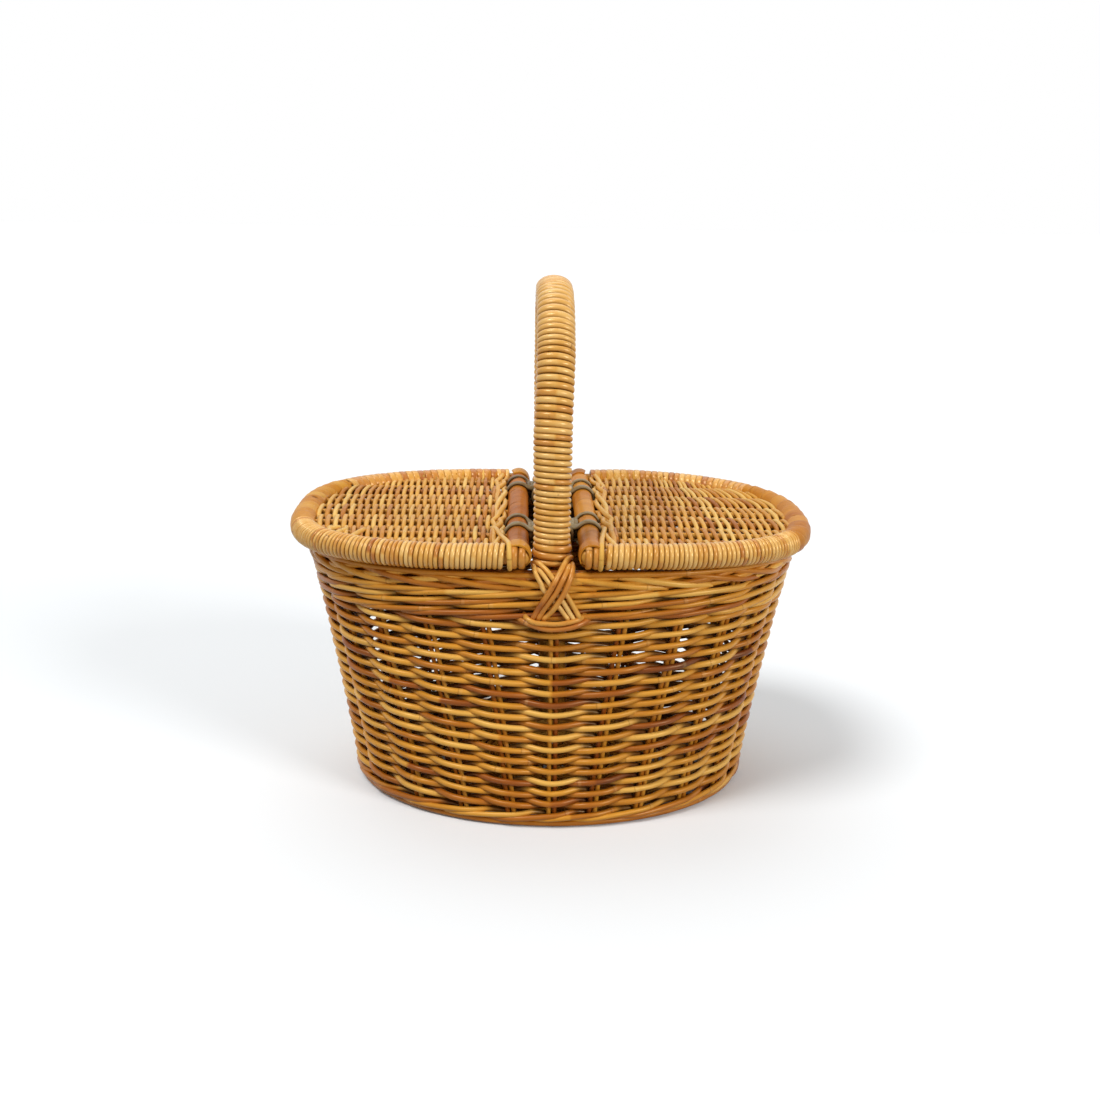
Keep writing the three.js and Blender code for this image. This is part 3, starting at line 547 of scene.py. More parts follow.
def wale_row(canes, z, radius, rise, depth, inset=WALL_MIDDLE, start=0.0, shift=0.0, sway=0.3,
             shade=0.7):
    """A row of three strands. Each passes in front of two stake pairs and behind one, climbing."""
    for strand in range(3):
        place = np.arange(PAIRS * ROW_STEPS) / ROW_STEPS + strand + start + 1.5
        w = (place - strand - start - 0.5 + 1.5) % 3 - 1.5
        level = np.interp(w, WALE_PLACES, WALE_LEVELS)
        level = (level + np.roll(level, 1) + np.roll(level, -1)) / 3
        fall = np.where(np.abs(w) < 1, w, np.sign(w) * (1.5 - np.abs(w)) / 0.5)
        height = z + fall * rise + sway * canes.drift(len(place), 20)
        tone = spliced_tones(canes.rng, place, place[0], 2, 7, shift)
        path = wall.at(place, height, inset - depth * level)
        # Painted shade darkens the strand where it goes in behind a pair, and on its lower face.
        canes.add(path, radius * canes.rng.uniform(0.92, 1.05), tone, closed=True,
                  bare=smooth((level + shade) / 0.9), under=0.4)


def ring_cane(canes, z, inset, radius, shift=0.1, bare=1.0):
    place = np.arange(PAIRS * 12) / 12
    path = wall.at(place, z + 0.25 * canes.drift(len(place), 30), inset)
    canes.add(path, radius, spliced_tones(canes.rng, place, 12.0, 5, 12, shift), closed=True,
              bare=bare)


def rolled_strand(canes, start, span, heights, insets, radius, tone, bare=1.0):
    """One stroke of the border's plait: a few heights and insets, evenly spread along it."""
    t = np.linspace(0, 1, 26)
    keys = np.linspace(0, 1, len(heights))
    way = np.array([np.interp(t, keys, heights), np.interp(t, keys, insets)])
    for _ in range(3):
        way[:, 1:-1] = (way[:, :-2] + way[:, 1:-1] + way[:, 2:]) / 3
    canes.add(wall.at(start + span * t, *way), radius, tone, bare=bare)


BAND_ROWS = 3
BAND_PITCH = 8.2
PLAIT_TOP = WALL_TOP - 2.6
PLAIT_LOW = BAND_BOTTOM + BAND_PITCH * BAND_ROWS + 1.5
# Rings of cane: height, inset and radius, and how much redder they are
PLAIT_RINGS = ((PLAIT_TOP, 3.0, 2.3), (PLAIT_TOP, 9.8, 2.3), (PLAIT_LOW + 1.5, 6.5, 2.6, 0.25))
FOOT_RINGS = ((3.2, 4.6, 2.35, 0.08), (3.2, 9.1, 2.2, 0.2), (6.4, 6.6, 2.2, 0.2))
# Strokes of the border's plait: start, span, heights and insets
PLAIT_FALL = (-0.2, 1.75, (PLAIT_TOP - 1, PLAIT_TOP - 4, PLAIT_LOW + 1, PLAIT_LOW - 1.5),
              (6.0, 1.2, 1.0, 5.0))
PLAIT_RISE = (0.35, 1.6, (PLAIT_LOW - 1.5, PLAIT_LOW + 2, PLAIT_TOP - 4, PLAIT_TOP),
              (5.5, 3.0, 2.2, 5.5))


def make_borders():
    band = Canes("top_wale")
    for row in range(BAND_ROWS):
        wale_row(band, BAND_BOTTOM + BAND_PITCH * (row + 0.5), 2.25, BAND_PITCH / 4 * 1.4, 5.0,
                 start=row, shift=-0.06, sway=0.75, shade=0.3)
    for row in range(2 * BAND_ROWS + 1):
        # The rings inside the wale are darkened with painted shade, so its gaps look dark.
        ring_cane(band, BAND_BOTTOM + BAND_PITCH * (row + 0.3) / 2, 10.6, 2.2, 0.35, bare=0.12)
    band.build("basket", "weaver_cane", "rim_border")

    plait = Canes("top_plait")
    for ring in PLAIT_RINGS:
        ring_cane(plait, *ring)
    for pair in range(PAIRS):
        # The last two draws aren't used, but the later ones follow from them.
        jitter = plait.rng.normal(0, 0.06, 4)
        for nudge, (start, span, heights, insets) in zip(jitter, (PLAIT_FALL, PLAIT_RISE)):
            place = pair + nudge + start
            rolled_strand(plait, place, span, heights, insets, 2.45, pick_tone(plait.rng))
            inside = [WALL_THICK - i for i in insets]
            # The strokes on the inside of the border get painted shade.
            rolled_strand(plait, place + 0.5, span, heights, inside, 2.5,
                          pick_tone(plait.rng, 0.1), 0.7)
    plait.build("basket", "weaver_cane")

    foot = Canes("foot_border_weave")
    wale_row(foot, 8.8, 2.35, 2.9, 4.2, inset=6.2)
    for ring in FOOT_RINGS:
        ring_cane(foot, *ring)
    foot.build("basket", "weaver_cane", "foot_border")


BASE_ROWS = 17
BASE_STICK_PITCH = 7.5
# The sticks crossed in the middle of the base: how many, their reach, way and height
BASE_CROSS = ((7, 52.0, 0, -1.6), (5, 44.0, 1, 1.9))


def make_base():
    canes = Canes("base_weave", sides=6)
    z = (BASE_LOW + BASE_TOP) / 2
    place = np.arange(PAIRS * 8) / 8
    for row in range(BASE_ROWS):
        share = lerp(0.945, 0.3, row / (BASE_ROWS - 1))
        for parity in (0, 1):
            path = wall.at(place, z, WALL_THICK) * share
            path[:, 2] = z + 2.3 * np.cos(math.pi * (place - parity))
            canes.add(path, 1.75, spliced_tones(canes.rng, place, parity + 1.0, 5, 12), closed=True)
    for pair in range(PAIRS):
        edge = wall.at([pair], z, WALL_MIDDLE)[0]
        path = np.linspace(edge * (1, 1, 0), edge * (0.2, 0.2, 0), 14) + (0, 0, z)
        # The spokes get a little painted shade.
        canes.add(path, 2.0, pick_tone(canes.rng, 0.1), bare=0.9)
    for count, reach, along, height in BASE_CROSS:
        for i in range(count):
            line = np.zeros((12, 3))
            line[:, along] = np.linspace(-reach, reach, 12)
            line[:, 1 - along] = (i - (count - 1) / 2) * BASE_STICK_PITCH
            line[:, 2] = z + height * np.cos(np.arange(12) * math.pi)
            canes.add(line, 2.1, pick_tone(canes.rng, 0.1))
    canes.build("basket", "base_cane", "base_panel")


def lean_at(z):
    """The front leg bows to the left. The top stays in the middle, clear of the opened lid."""
    return -HANDLE_BOW * smooth((z - LEG_BOTTOM) / 150) * smooth((HANDLE_BOW_TOP - z) / 70)


def handle_path():
    """Middle line of the handle, from the foot of its front leg to the foot of the back one."""
    leg_z = np.linspace(LEG_BOTTOM, WALL_TOP, 24)
    half = [wall.level(z, math.pi / 2)[1] - LEG_INSET for z in leg_z]
    front = np.column_stack([-np.array(half), leg_z])
    crown = CORE_TOP - CORE_HALF_THICK - CROWN_DROP
    arch = oval(half[-1], crown - HANDLE_SPRING, HANDLE_SQUARE, np.linspace(0, math.pi, 400))
    path = np.vstack([front, arch * (-1, 1) + (0, HANDLE_SPRING), front[::-1] * (-1, 1)])
    return Curve(np.column_stack([lean_at(path[:, 1]) * (path[:, 0] < 0), path]))


def wind(canes, curve, side, turns, half_out, half_side, thick, tones, steps, square=2.05):
    """One strand wound on a curve. Each turn has its place along the curve, its width and how
    far it stands out. Side is the way across the curve from which the turns are counted."""
    places, widths, flares = np.array(turns).T
    n = len(places)
    t = np.arange((n - 1) * steps + 1) / steps
    angle = 2 * math.pi * t + math.pi
    along, width, flare = (np.interp(t, np.arange(n), v) for v in (places, widths, flares))
    centre, tangent = curve.at(along), curve.tangent(along)
    side = np.broadcast_to(side, centre.shape)
    out = unit(np.cross(tangent, side))
    c, s = np.cos(angle)[:, None], np.sin(angle)[:, None]
    reach_out, reach_side = ((half + thick + flare)[:, None] for half in (half_out, half_side))
    path = centre + out * (reach_out * c) + side * (reach_side * s)
    up = unit(out * (c * reach_side) + side * (s * reach_out))
    tone = np.asarray(tones)[np.clip((t + 0.5).astype(int), 0, n - 1)]
    # Painted shade on the strand's sides, where the turns touch each other.
    canes.add(path, 1.0, tone, up=up, thick=thick, wide=width / 2, wobble=0.02, square=square,
              flanks=0.62)


HANDLE_STRAND = 2.15  # half the thickness of the strand wound on the handle
HANDLE_SINK = 0.3
CROWN_DROP = 1.6
GRIP_HALF = 78.0  # the grip reaches so far to the front and to the back
SHOULDER = (312, 366)  # heights between which the shoulder lies
# Pitch of the winding on the grip, under the shoulder, on it and above it
HANDLE_PITCHES = (7.4, 4.55, 5.4, 4.9)
# The wider turns at the handle's feet: height above the rim, width, how far out, and tone
HANDLE_FOOT = ((2.0, 4.4, -0.3, 0.34), (6.6, 4.6, 0.0, 0.42), (12.8, 6.8, 0.75, 0.46))
FOOT_GAP = 5.7
RED_TURNS = (13, 20, 24, 27, 60, 75)


def make_handle():
    curve = handle_path()
    rng = seeded("handle")
    rods = Canes("handle_canes")
    along = np.linspace(0, curve.length, 160)
    for side in (-1, 1):
        rods.add(curve.at(along) + (side * CORE_HALF_X / 2, 0, 0), 1.0, 0.45 + 0.1 * side,
                 up=np.cross(curve.tangent(along), (-1, 0, 0)), thick=CORE_HALF_THICK - 0.5,
                 wide=CORE_HALF_X / 2, wobble=0.01)
    rods.build("basket", "frame_cane", "handle_cane")

    strands = Canes("handle_winding", sides=12, spacing=WINDING_SPACING)
    rim = WALL_TOP - LEG_BOTTOM
    turns = [(rim + z, width, flare) for z, width, flare, _ in HANDLE_FOOT]
    tones = [tone for *_, tone in HANDLE_FOOT]
    samples = np.linspace(0, curve.length, 2000)
    points = curve.at(samples)
    place = turns[-1][0] + FOOT_GAP
    while place < curve.length - rim - HANDLE_FOOT[-1][0] - FOOT_GAP:
        depth, height = (np.interp(place, samples, v) for v in (np.abs(points[:, 1]), points[:, 2]))
        on_grip = depth < GRIP_HALF
        part = 0 if on_grip else 1 + np.searchsorted(SHOULDER, height, side="right")
        pitch = HANDLE_PITCHES[part] * rng.uniform(0.94, 1.06)
        tones.append(np.clip(0.19 + rng.normal(0, 0.07), 0.03, 0.6))
        slim = 0.0 if on_grip else 0.7 * smooth((SHOULDER[0] - height) / 70)
        turns.append((place, pitch * 0.97, rng.uniform(-0.16, 0.14) - slim))
        place += pitch
    for turn in RED_TURNS:
        tones[turn] += 0.2
    for z, width, flare, tone in HANDLE_FOOT[::-1]:
        turns.append((curve.length - rim - z, width, flare))
        tones.append(tone)
    wind(strands, curve, (-1.0, 0, 0), turns, CORE_HALF_THICK - HANDLE_SINK,
         CORE_HALF_X - HANDLE_SINK, HANDLE_STRAND, tones, steps=36)
    strands.build("basket", "winding_cane", "handle_winding_front", "handle_winding_back")


# The cross at the handle's foot: radius, tone, how far a strand bows out where it crosses the
# others, and its way in X and Z from the border up to the side of the handle.
CROSS = (
    (1.78, 0.18, 0.0, ((9.8, 174.5), (6.1, 179.7), (2.4, 184.7), (-8.1, 196.7), (-9.9, 201.0),
        (-13.4, 207.3), (-15.1, 211.0), (-15.9, 214.4))),
    (1.85, 0.24, 0.0, ((18.3, 176.2), (14.1, 184.1), (8.6, 193.3), (-1.5, 205.7), (-5.1, 210.0),
        (-9.3, 213.2), (-13.8, 216.0))),
    (1.72, 0.18, 0.2, ((14.3, 174.1), (9.7, 181.7), (5.7, 188.3), (-4.1, 202.0), (-9.1, 208.5),
        (-13.8, 212.5))),
    (2.15, 0.5, 3.4, ((-15.9, 174.8), (-11.3, 183.9), (-8.7, 188.6), (-4.7, 195.3), (-1.9, 200.1),
        (1.2, 205.7), (6.6, 213.9), (11.6, 220.2))),
    (2.1, 0.58, 3.3, ((-11.9, 174.8), (-7.5, 182.9), (-2.2, 191.1), (0.7, 195.4), (6.1, 205.7),
        (9.3, 211.2), (11.3, 214.7))),
    (2.1, 0.42, 3.4, ((-8.0, 174.4), (-2.9, 179.6), (1.9, 186.8), (6.3, 194.5), (10.2, 203.0),
        (12.4, 209.1), (13.8, 216.0))),
)
# How its strands go on. Below: the share of their X, the way in and the way down. Behind the
# handle: X from its middle, Y and the way down.
CROSS_TAIL = ((1.03, 9.0, 4.0), (1.02, 3.6, 2.4))
CROSS_HEAD = ((14.4, -131.5, 2.8), (13.4, -125.0, 5.4), (10.4, -118.0, 7.0))
# How far out the cross lies, by its height
CROSS_FACE = ((165, 147.6), (176, 147.6), (203, 149.2), (206.5, 149.0), (209.5, 147.2),
              (212, 143.8), (215, 140.2), (218, 137.2), (222, 133.5))
# The strands lashed under it: radius, tone, how far out, and their way from left to right.
CROSS_LASHES = (
    (2.0, 0.4, 150.9, ((-22.6, 175.8), (-20.4, 174.4), (-15.4, 172.2), (-9.6, 171.5), (0.4, 171.1),
        (9.4, 172.0), (18.8, 173.8), (22.6, 175.6))),
    (2.1, 0.6, 150.2, ((-29.0, 174.0), (-19.9, 170.6), (-8.6, 167.3), (0.4, 166.7), (11.7, 168.0),
        (20.7, 170.7), (28.3, 173.8))),
)


def mirrored(path, turn):
    """The same path at the handle's front foot (turn 1) or at its back foot (turn -1)."""
    middle = lean_at(path[:, 2])
    x = path[:, 0] if turn > 0 else middle - path[:, 0]
    return np.column_stack([x, turn * path[:, 1], path[:, 2]])


def cross_strand(canes, radius, tone, bow, points, turn):
    heights, faces = np.array(CROSS_FACE).T
    x, z = soft_path(points, 6).T
    t = np.linspace(0, 1, len(x))
    y = -np.interp(z, heights, faces) - bow * np.exp(-((t - 0.45) / 0.27) ** 4)
    for _ in range(4):
        y[1:-1] = (y[:-2] + 2 * y[1:-1] + y[2:]) / 4
    side = math.copysign(1, x[-1])
    tail = [[x[0] * out, y[0] + back, z[0] - down] for out, back, down in CROSS_TAIL]
    behind = [[lean_at(z[-1]) + side * out, back, z[-1] - down] for out, back, down in CROSS_HEAD]
    path = soft_path(np.vstack([tail, np.column_stack([x, y, z])[::3], behind]), 5)
    canes.add(mirrored(path, turn), radius, tone + 0.08 * canes.drift(len(path), 20),
              up=(0, -turn, 0.2))


def make_bindings():
    """Three strands each way across the border at the handle's foot, and two lashed under them."""
    canes = Canes("cross_bindings", sides=12)
    for turn in (1, -1):
        for strand in CROSS:
            cross_strand(canes, *strand, turn)
        for radius, tone, face, points in CROSS_LASHES:
            x, z = soft_path(points, 6).T
            y = -face + 12.0 * np.abs(np.linspace(-1, 1, len(x))) ** 3.6
            canes.add(mirrored(np.column_stack([x, y, z]), turn), radius, tone, up=(0, -turn, 0))
    canes.build("basket", "binding_cane",
                *[f"cross_binding_{e}_{p}" for e in ("front", "back") for p in ("under", "over")])


def peel_tube(canes, curve, side, start, stop, radius, tone, strip, slant=1, steps=1.2, sides=40,
              edge=0.55, ends=0.0, tone_drift=0.15, wide=1.0, cracks=()):
    """A strip of peel wrapped on a rod: its edges stand out a little where they overlap. Each crack
    has its place along the rod and round it, its length round it and its width."""
    along = np.linspace(start, stop, int((stop - start) / steps))
    centre, tangent = curve.at(along), curve.tangent(along)
    side = np.broadcast_to(np.asarray(side, float), centre.shape)
    out = unit(np.cross(tangent, side))
    a, th = np.meshgrid(along, 2 * math.pi * np.arange(sides) / sides, indexing="ij")
    sway = sum(canes.rng.uniform(0.4, 1.0) * np.sin(k * th + canes.rng.uniform(0, 6.3))
               for k in (1, 2, 3)) * 1.3
    phase = (a + sway + slant * strip * th / (2 * math.pi)) / strip
    wrap = phase % 1
    ridge = edge * (wrap - 0.5) - edge * 0.9 * np.exp(-(wrap / 0.03) ** 2)
    bumps = 0.16 * np.sin(a / 5.3 + 2 * th) * np.sin(a / 11.7 + 3 * th + 1)
    crack = np.zeros_like(a)
    for place, turn, length, width in cracks:
        round_it = (th - turn + math.pi) % (2 * math.pi) - math.pi
        crack += np.exp(-((a - place) / width) ** 2 - (round_it * radius / length) ** 4)
    crack = np.clip(crack, 0, 1)
    r = radius - 0.25 + ridge + bumps - 0.8 * crack
    r = r - ends * np.exp(-(a - start) / 3.0) - ends * np.exp(-(stop - a) / 3.0)
    x, y = r * np.cos(th), r * np.sin(th)
    points = (centre[:, None] + out[:, None] * (wide * r * np.cos(th))[..., None]
              + side[:, None] * y[..., None])
    offset = canes.rng.uniform(0, 300, 3)
    grain = np.stack([x * 1.2 + offset[0], a + offset[1], y * 0.2 + offset[2]], -1)
    strips = np.floor(phase).astype(int)
    shades = canes.rng.normal(0, tone_drift, strips.max() - strips.min() + 1)
    # Painted shade darkens the seams where the strips overlap, and the cracks.
    bare = 1 - 0.7 * np.exp(-(wrap / 0.035) ** 2) - crack
    canes.grid(points, tone + shades[strips - strips.min()], bare, grain)


def straight(x, half, z):
    y = np.linspace(-half, half, 40)
    return Curve(np.stack([np.full(40, x), y, np.full(40, z)], -1))


# Where the lashings lie, on the spine and on the bar, in shares of half the spine's length
LASHES = {-1: ((-0.44, -0.475), (0.7, 0.72)), 1: ((-0.38, -0.345), (0.59, 0.57))}
LASH_SPREAD = 16.0  # from a lashing's middle to its bands on the spine, and on the bar
LASH_SPREAD_BAR = 5.0
LASH_BANDS = ((-1, 4.7, 1.2), (1, 3.2, 0.9))  # each band's side, half width and thickness
WAIST = (16.6, 4.2)  # where the bands are drawn together: how far out, and half their height
WAIST_RINGS = (-1.5, 1.7)  # two rings hold them there: how far from it, and half their size
WAIST_RING_HALF = (13.0, 6.6)
BAR_WIDE = 1.22  # how much wider than high the bar is


def band_loop(side, on_spine, on_bar, thick):
    """A loop round the spine and the bar, drawn together between them, and its way outward."""
    bar_x, bar_z = BAR_RADIUS * BAR_WIDE + thick, BAR_RADIUS + thick
    skin = SPINE_SKIN + thick + 0.1
    over, back = (np.radians(np.linspace(*ends, 24)) for ends in ((-146, 146), (30, 330)))
    waist, height = WAIST
    x = np.concatenate([SPINE_X + skin * np.cos(over), [waist], bar_x * np.cos(back), [waist]])
    z = np.concatenate([skin * np.sin(over), [height], bar_z * np.sin(back), [-height]])
    middle = (on_spine + on_bar) / 2
    y = np.concatenate([np.full(24, on_spine), [middle], np.full(24, on_bar), [middle]])
    path = np.stack([np.interp(np.arange(150) / 3, np.arange(51), [*v, v[0]])
                     for v in (x, y, z)], -1)
    for _ in range(6):
        path = (np.roll(path, 1, 0) + path + np.roll(path, -1, 0)) / 3
    ahead = np.roll(path, -1, 0) - np.roll(path, 1, 0)
    outward = unit(ahead[:, ::-1] * (1, 0, -1))
    return path * (side, 1, 1) + (0, 0, HINGE_Z), outward * (side, 1, 1)


def make_hinges():
    bar = Canes("crossbar_peel")
    peel_tube(bar, straight(0, BAR_REACH, HINGE_Z), (0, 0, 1), 0, 2 * BAR_REACH,
              BAR_RADIUS - 0.3, 0.42, 60, wide=BAR_WIDE)
    bar.build("basket", "peel_wrap", "crossbar")

    straps = Canes("hinge_lashings", sides=14)
    for side, places in LASHES.items():
        for on_spine, on_bar in places:
            tone = 0.35 + straps.rng.normal(0, 0.08)
            for way, half, thick in LASH_BANDS:
                path, outward = band_loop(side, on_spine * SPINE_HALF + way * LASH_SPREAD,
                                          on_bar * SPINE_HALF + way * LASH_SPREAD_BAR, thick)
                # Painted shade on the sides of the bands.
                straps.add(path, 1.0, tone + straps.rng.normal(0, 0.06), up=outward, thick=thick,
                           wide=half, closed=True, square=2.5, wobble=0.04, flanks=0.4)
            t = np.linspace(0, 2 * math.pi, 40, endpoint=False)
            middle = (on_spine + on_bar) / 2 * SPINE_HALF
            for along in WAIST_RINGS:
                ring = np.stack([np.full(40, side * (WAIST[0] + along)),
                                 middle + WAIST_RING_HALF[0] * np.cos(t),
                                 HINGE_Z + WAIST_RING_HALF[1] * np.sin(t)], -1)
                outward = np.stack([np.zeros(40), np.cos(t), np.sin(t)], -1)
                # Painted shade on the sides of the rings.
                straps.add(ring, 1.0, tone, up=outward, thick=1.0, wide=1.9, closed=True,
                           square=2.4, wobble=0.05, flanks=0.4)
    straps.build("basket", "hinge_lash",
                 *[f"{s}_lashing_{e}" for s in ("left", "right") for e in ("front", "back")])


# The lids. Where there are two values, -1 is the left lid and 1 the right one.
RIB_PITCH = 39.0
RIBS = np.arange(-3, 4) * RIB_PITCH
RIB_RADIUS = 2.4
LID_WEAVER = 1.86
LID_WAVE = 2.6
COLUMN_PITCH = 3.06
WEAVE_Z = 221.3
BAND_CLEARANCE = 8.5  # between the ends of the ribs and the lashings on the spine
PEEL_MORE = 38.0  # the left lid's peel begins so much later at the front
# The winding's strand at the front and at the back: how far out it lies, its thickness, the steps
# of a turn, how square it is, and the tone and the share of darker turns
WINDINGS = {False: (0.1, 1.95, 26, 2.05, 0.22, 0.1), True: (1.4, 1.2, 24, 3.2, 0.3, 0.3)}
WINDING_START = 16.2
BACK_PITCH = 6.1
END_LOOPS = (3.2, 8.9)  # where two loops hold the hoop's end, from its tip
END_TONE = {-1: 0.26, 1: 0.36}
END_STRIP = {-1: 12.0, 1: 19.0}
SPINE_TONE = {-1: 0.6, 1: 0.38}
HOOD_TONE = {-1: 0.3, 1: 0.5}
# The rod inside the hoop: its distance from it, how much lower it lies, and its radius
INNER_ROD = (7.5, 5.2, 2.6)
# How the lids have warped: the rise beyond the spine and at the end, the shift of the end and of
# the back corner outward, and the rise at the front, beside the spine
LID_RISE = {-1: 0.3, 1: 1.0}
END_RISE = {-1: -0.3, 1: -2.2}
END_REACH = {-1: -2.4, 1: 0.6}
CORNER_REACH = {-1: 0.0, 1: -6.5}
FRONT_RISE = 1.3
LID_SKEW = {-1: 0.0, 1: -17.0}  # how far the weavers fan out
LID_PICKS = ((0.1, 0.26, 0.38, 0.5, 0.62), (0.18, 0.32, 0.28, 0.17, 0.05))  # tones and shares
# The plait beside the spine: how far from it, the radius of its twist, its height and pitch
PLAIT_GAP, PLAIT_TWIST, PLAIT_LIFT, PLAIT_PITCH = 5.3, (3.6, 1.8), 2.3, 150.0
# The strand that crosses to the front rim: its X and Y, its height by Y, and its turn over the rim
CROSSING = {-1: ((48.6, 62), (46.0, 74), (43.6, 88), (40.8, 106), (37.6, 123), (35.2, 136)),
            1: ((41.5, 62), (40.2, 74), (38.6, 90), (37.0, 106), (35.6, 122), (34.8, 136))}
CROSSING_HEIGHT = ((62, 74, 88, 106, 136), (222.5, 225.6, 227.2, 227.8, 228.8))
OVER_RIM = 9.2
# Cracks in the peel: the place in Y, round the rod, the length round it and, at the lids' ends,
# the width. The angle is 0 outward, and a quarter turn of the side's sign is up.
SPINE_CRACKS = {-1: ((61, -0.9, 3.5), (8, -1.0, 4.0), (-20, -0.7, 2.0), (-77, -1.1, 5.0)),
                1: ((-66, 1.0, 3.0), (30, 0.7, 2.0))}
END_CRACKS = {-1: ((-11, -0.3, 3.0, 1.4), (39, -0.6, 2.5, 1.1), (20, -1.9, 2.5, 1.6)),
              1: ((-30, 1.6, 3.0, 1.2), (22, 1.2, 2.0, 1.0))}
# Ends of weavers that lie on the left lid beside its end: from X, Y to X, Y.
TONGUES = (((-201, -72), (-185, -65)), ((-189, -97), (-174, -73)), ((-175, -88), (-167, -73)),
           ((-168, -101), (-161, -79)), ((-156, -113), (-147.5, -79)), ((-202, 4), (-194, -30)))


def lid_edge(half, share):
    """How far the lids' oval reaches one way, at this share of its reach the other way."""
    return half * (1 - share ** LID_SQUARE) ** (1 / LID_SQUARE)


class Lid:
    """One half lid. Its own X runs outward from the middle of the basket, side gives the way."""

    def __init__(self, name, side):
        self.name, self.side, self.up = name, side, (0.0, 0.0, float(side))
        self.half_x, self.half_y = LID_HALF_X - RIM_RADIUS, LID_HALF_Y - RIM_RADIUS
        start = math.acos((HOOP_END_X / self.half_x) ** (LID_SQUARE / 2))
        outline = oval(self.half_x, self.half_y, LID_SQUARE, np.linspace(-start, start, 900))
        self.hoop = Curve(self.world(*outline.T, HINGE_Z))
        bare = self.hoop.length * (1 - PEEL_SHARE) / 2
        self.peel_from = bare + (PEEL_MORE if side < 0 else 0)
        self.peel_to = self.hoop.length - bare

    def world(self, x, y, z):
        x, y, z = np.broadcast_arrays(np.asarray(x, float), y, z)
        return np.stack([self.side * x, y, z], -1)

    def edge_y(self, x, inset):
        """Half depth of the lid at an X, this far inside the middle of its hoop."""
        return lid_edge(self.half_y - inset, np.clip(np.abs(x) / (self.half_x - inset), 0, 1))

    def canes(self, part, sides=8, spacing=KNUCKLE_SPACING):
        return Canes(f"{self.name}_{part}", sides, spacing)

    def warp(self, points):
        """The lids of an old basket aren't quite flat. Opened, they still clear the handle."""
        x, y, z = points.T
        far = np.abs(x)
        rise = LID_RISE[self.side] * smooth((far - 36) / 30)
        rise = rise + END_RISE[self.side] * smooth((far - 60) / 150)
        rise = rise + FRONT_RISE * smooth((-y - 104) / 34) * smooth((90 - far) / 50)
        x = x + END_REACH[self.side] * smooth((far - 150) / 60)
        x = x + CORNER_REACH[self.side] * smooth((far - 60) / 110) * smooth((y - 10) / 90)
        return np.column_stack([x, y, z + rise])

    def finish(self, canes, slot, *parts, look=""):
        canes.verts = [self.warp(v) for v in canes.verts]
        canes.build(self.name, slot, *[f"{self.name}_{p}" for p in parts], look=look)

    def make_frame(self):
        rods = self.canes("hoop_cane", 14)
        along = np.linspace(0, self.hoop.length, 260)
        rods.add(self.hoop.at(along), HOOP_RADIUS, 0.4, wobble=0.01)
        inset, down, radius = INNER_ROD
        angle = np.linspace(-math.pi / 2, math.pi / 2, 200)
        inner = oval(self.half_x - inset, self.half_y - inset, LID_SQUARE, angle)
        inner = inner[inner[:, 0] > SPINE_X + SPINE_SKIN + 3]
        # The rod under the hoop is darkened with painted shade.
        rods.add(self.world(*inner.T, HINGE_Z - down), radius, 0.6, bare=0.55)
        self.finish(rods, "frame_cane", "hoop")
        spine = self.canes("spine_rod", 16)
        line = straight(self.side * SPINE_X, SPINE_HALF + 3, HINGE_Z)
        spine.add(line.at(np.linspace(0, line.length, 60)), SPINE_RADIUS + 1.4, 0.55, wobble=0.01)
        self.finish(spine, "frame_cane", "spine")

    def make_winding(self):
        strands = self.canes("rim_winding", 12, WINDING_SPACING)
        rng = strands.rng
        for back, (out, thick, steps, square, usual, odd_share) in WINDINGS.items():
            turns, tones = [], []
            place = WINDING_START
            stop = self.hoop.length - self.peel_to if back else self.peel_from
            while place < stop + 2:
                pitch = 4.1 if place < 60 else lerp(3.6, 3.1, smooth((place / stop - 0.5) * 2))
                if back and place > 24:
                    pitch = BACK_PITCH
                pitch *= rng.uniform(0.88, 1.12)
                odd = rng.random() < odd_share
                turns.append((self.hoop.length - place if back else place, pitch * 1.02,
                              rng.uniform(-0.25, 0.15)))
                tones.append(np.clip(usual + rng.normal(0, 0.1) + 0.22 * odd, 0.03, 0.7))
                place += pitch
            wind(strands, self.hoop, self.up, turns, HOOP_RADIUS + out, HOOP_RADIUS + out, thick,
                 tones, steps, square)
        self.finish(strands, "winding_cane", "winding_front", "winding_back")

        loops = self.canes("end_loops", 10)
        for flip in (False, True):
            for place in END_LOOPS:
                at = self.hoop.length - place if flip else place
                wind(loops, self.hoop, self.up, [(at - 0.5, 5.4, 0), (at + 0.5, 5.4, 0)],
                     HOOP_RADIUS, HOOP_RADIUS, 1.8, [0.5, 0.44], steps=30)
        self.finish(loops, "binding_cane", "end_loops_front", "end_loops_back")

    def make_end_peel(self):
        peel = self.canes("end_wrap")
        cracks = [(self.hoop.along[np.argmin(np.abs(self.hoop.points[:, 1] - y))], *crack)
                  for y, *crack in END_CRACKS[self.side]]
        peel_tube(peel, self.hoop, self.up, self.peel_from - 2, self.peel_to + 2, RIM_RADIUS,
                  END_TONE[self.side], END_STRIP[self.side], slant=2, steps=0.9, sides=36, edge=0.8,
                  ends=0.5, tone_drift=0.07, cracks=cracks)
        self.finish(peel, "peel_wrap", "end_peel")

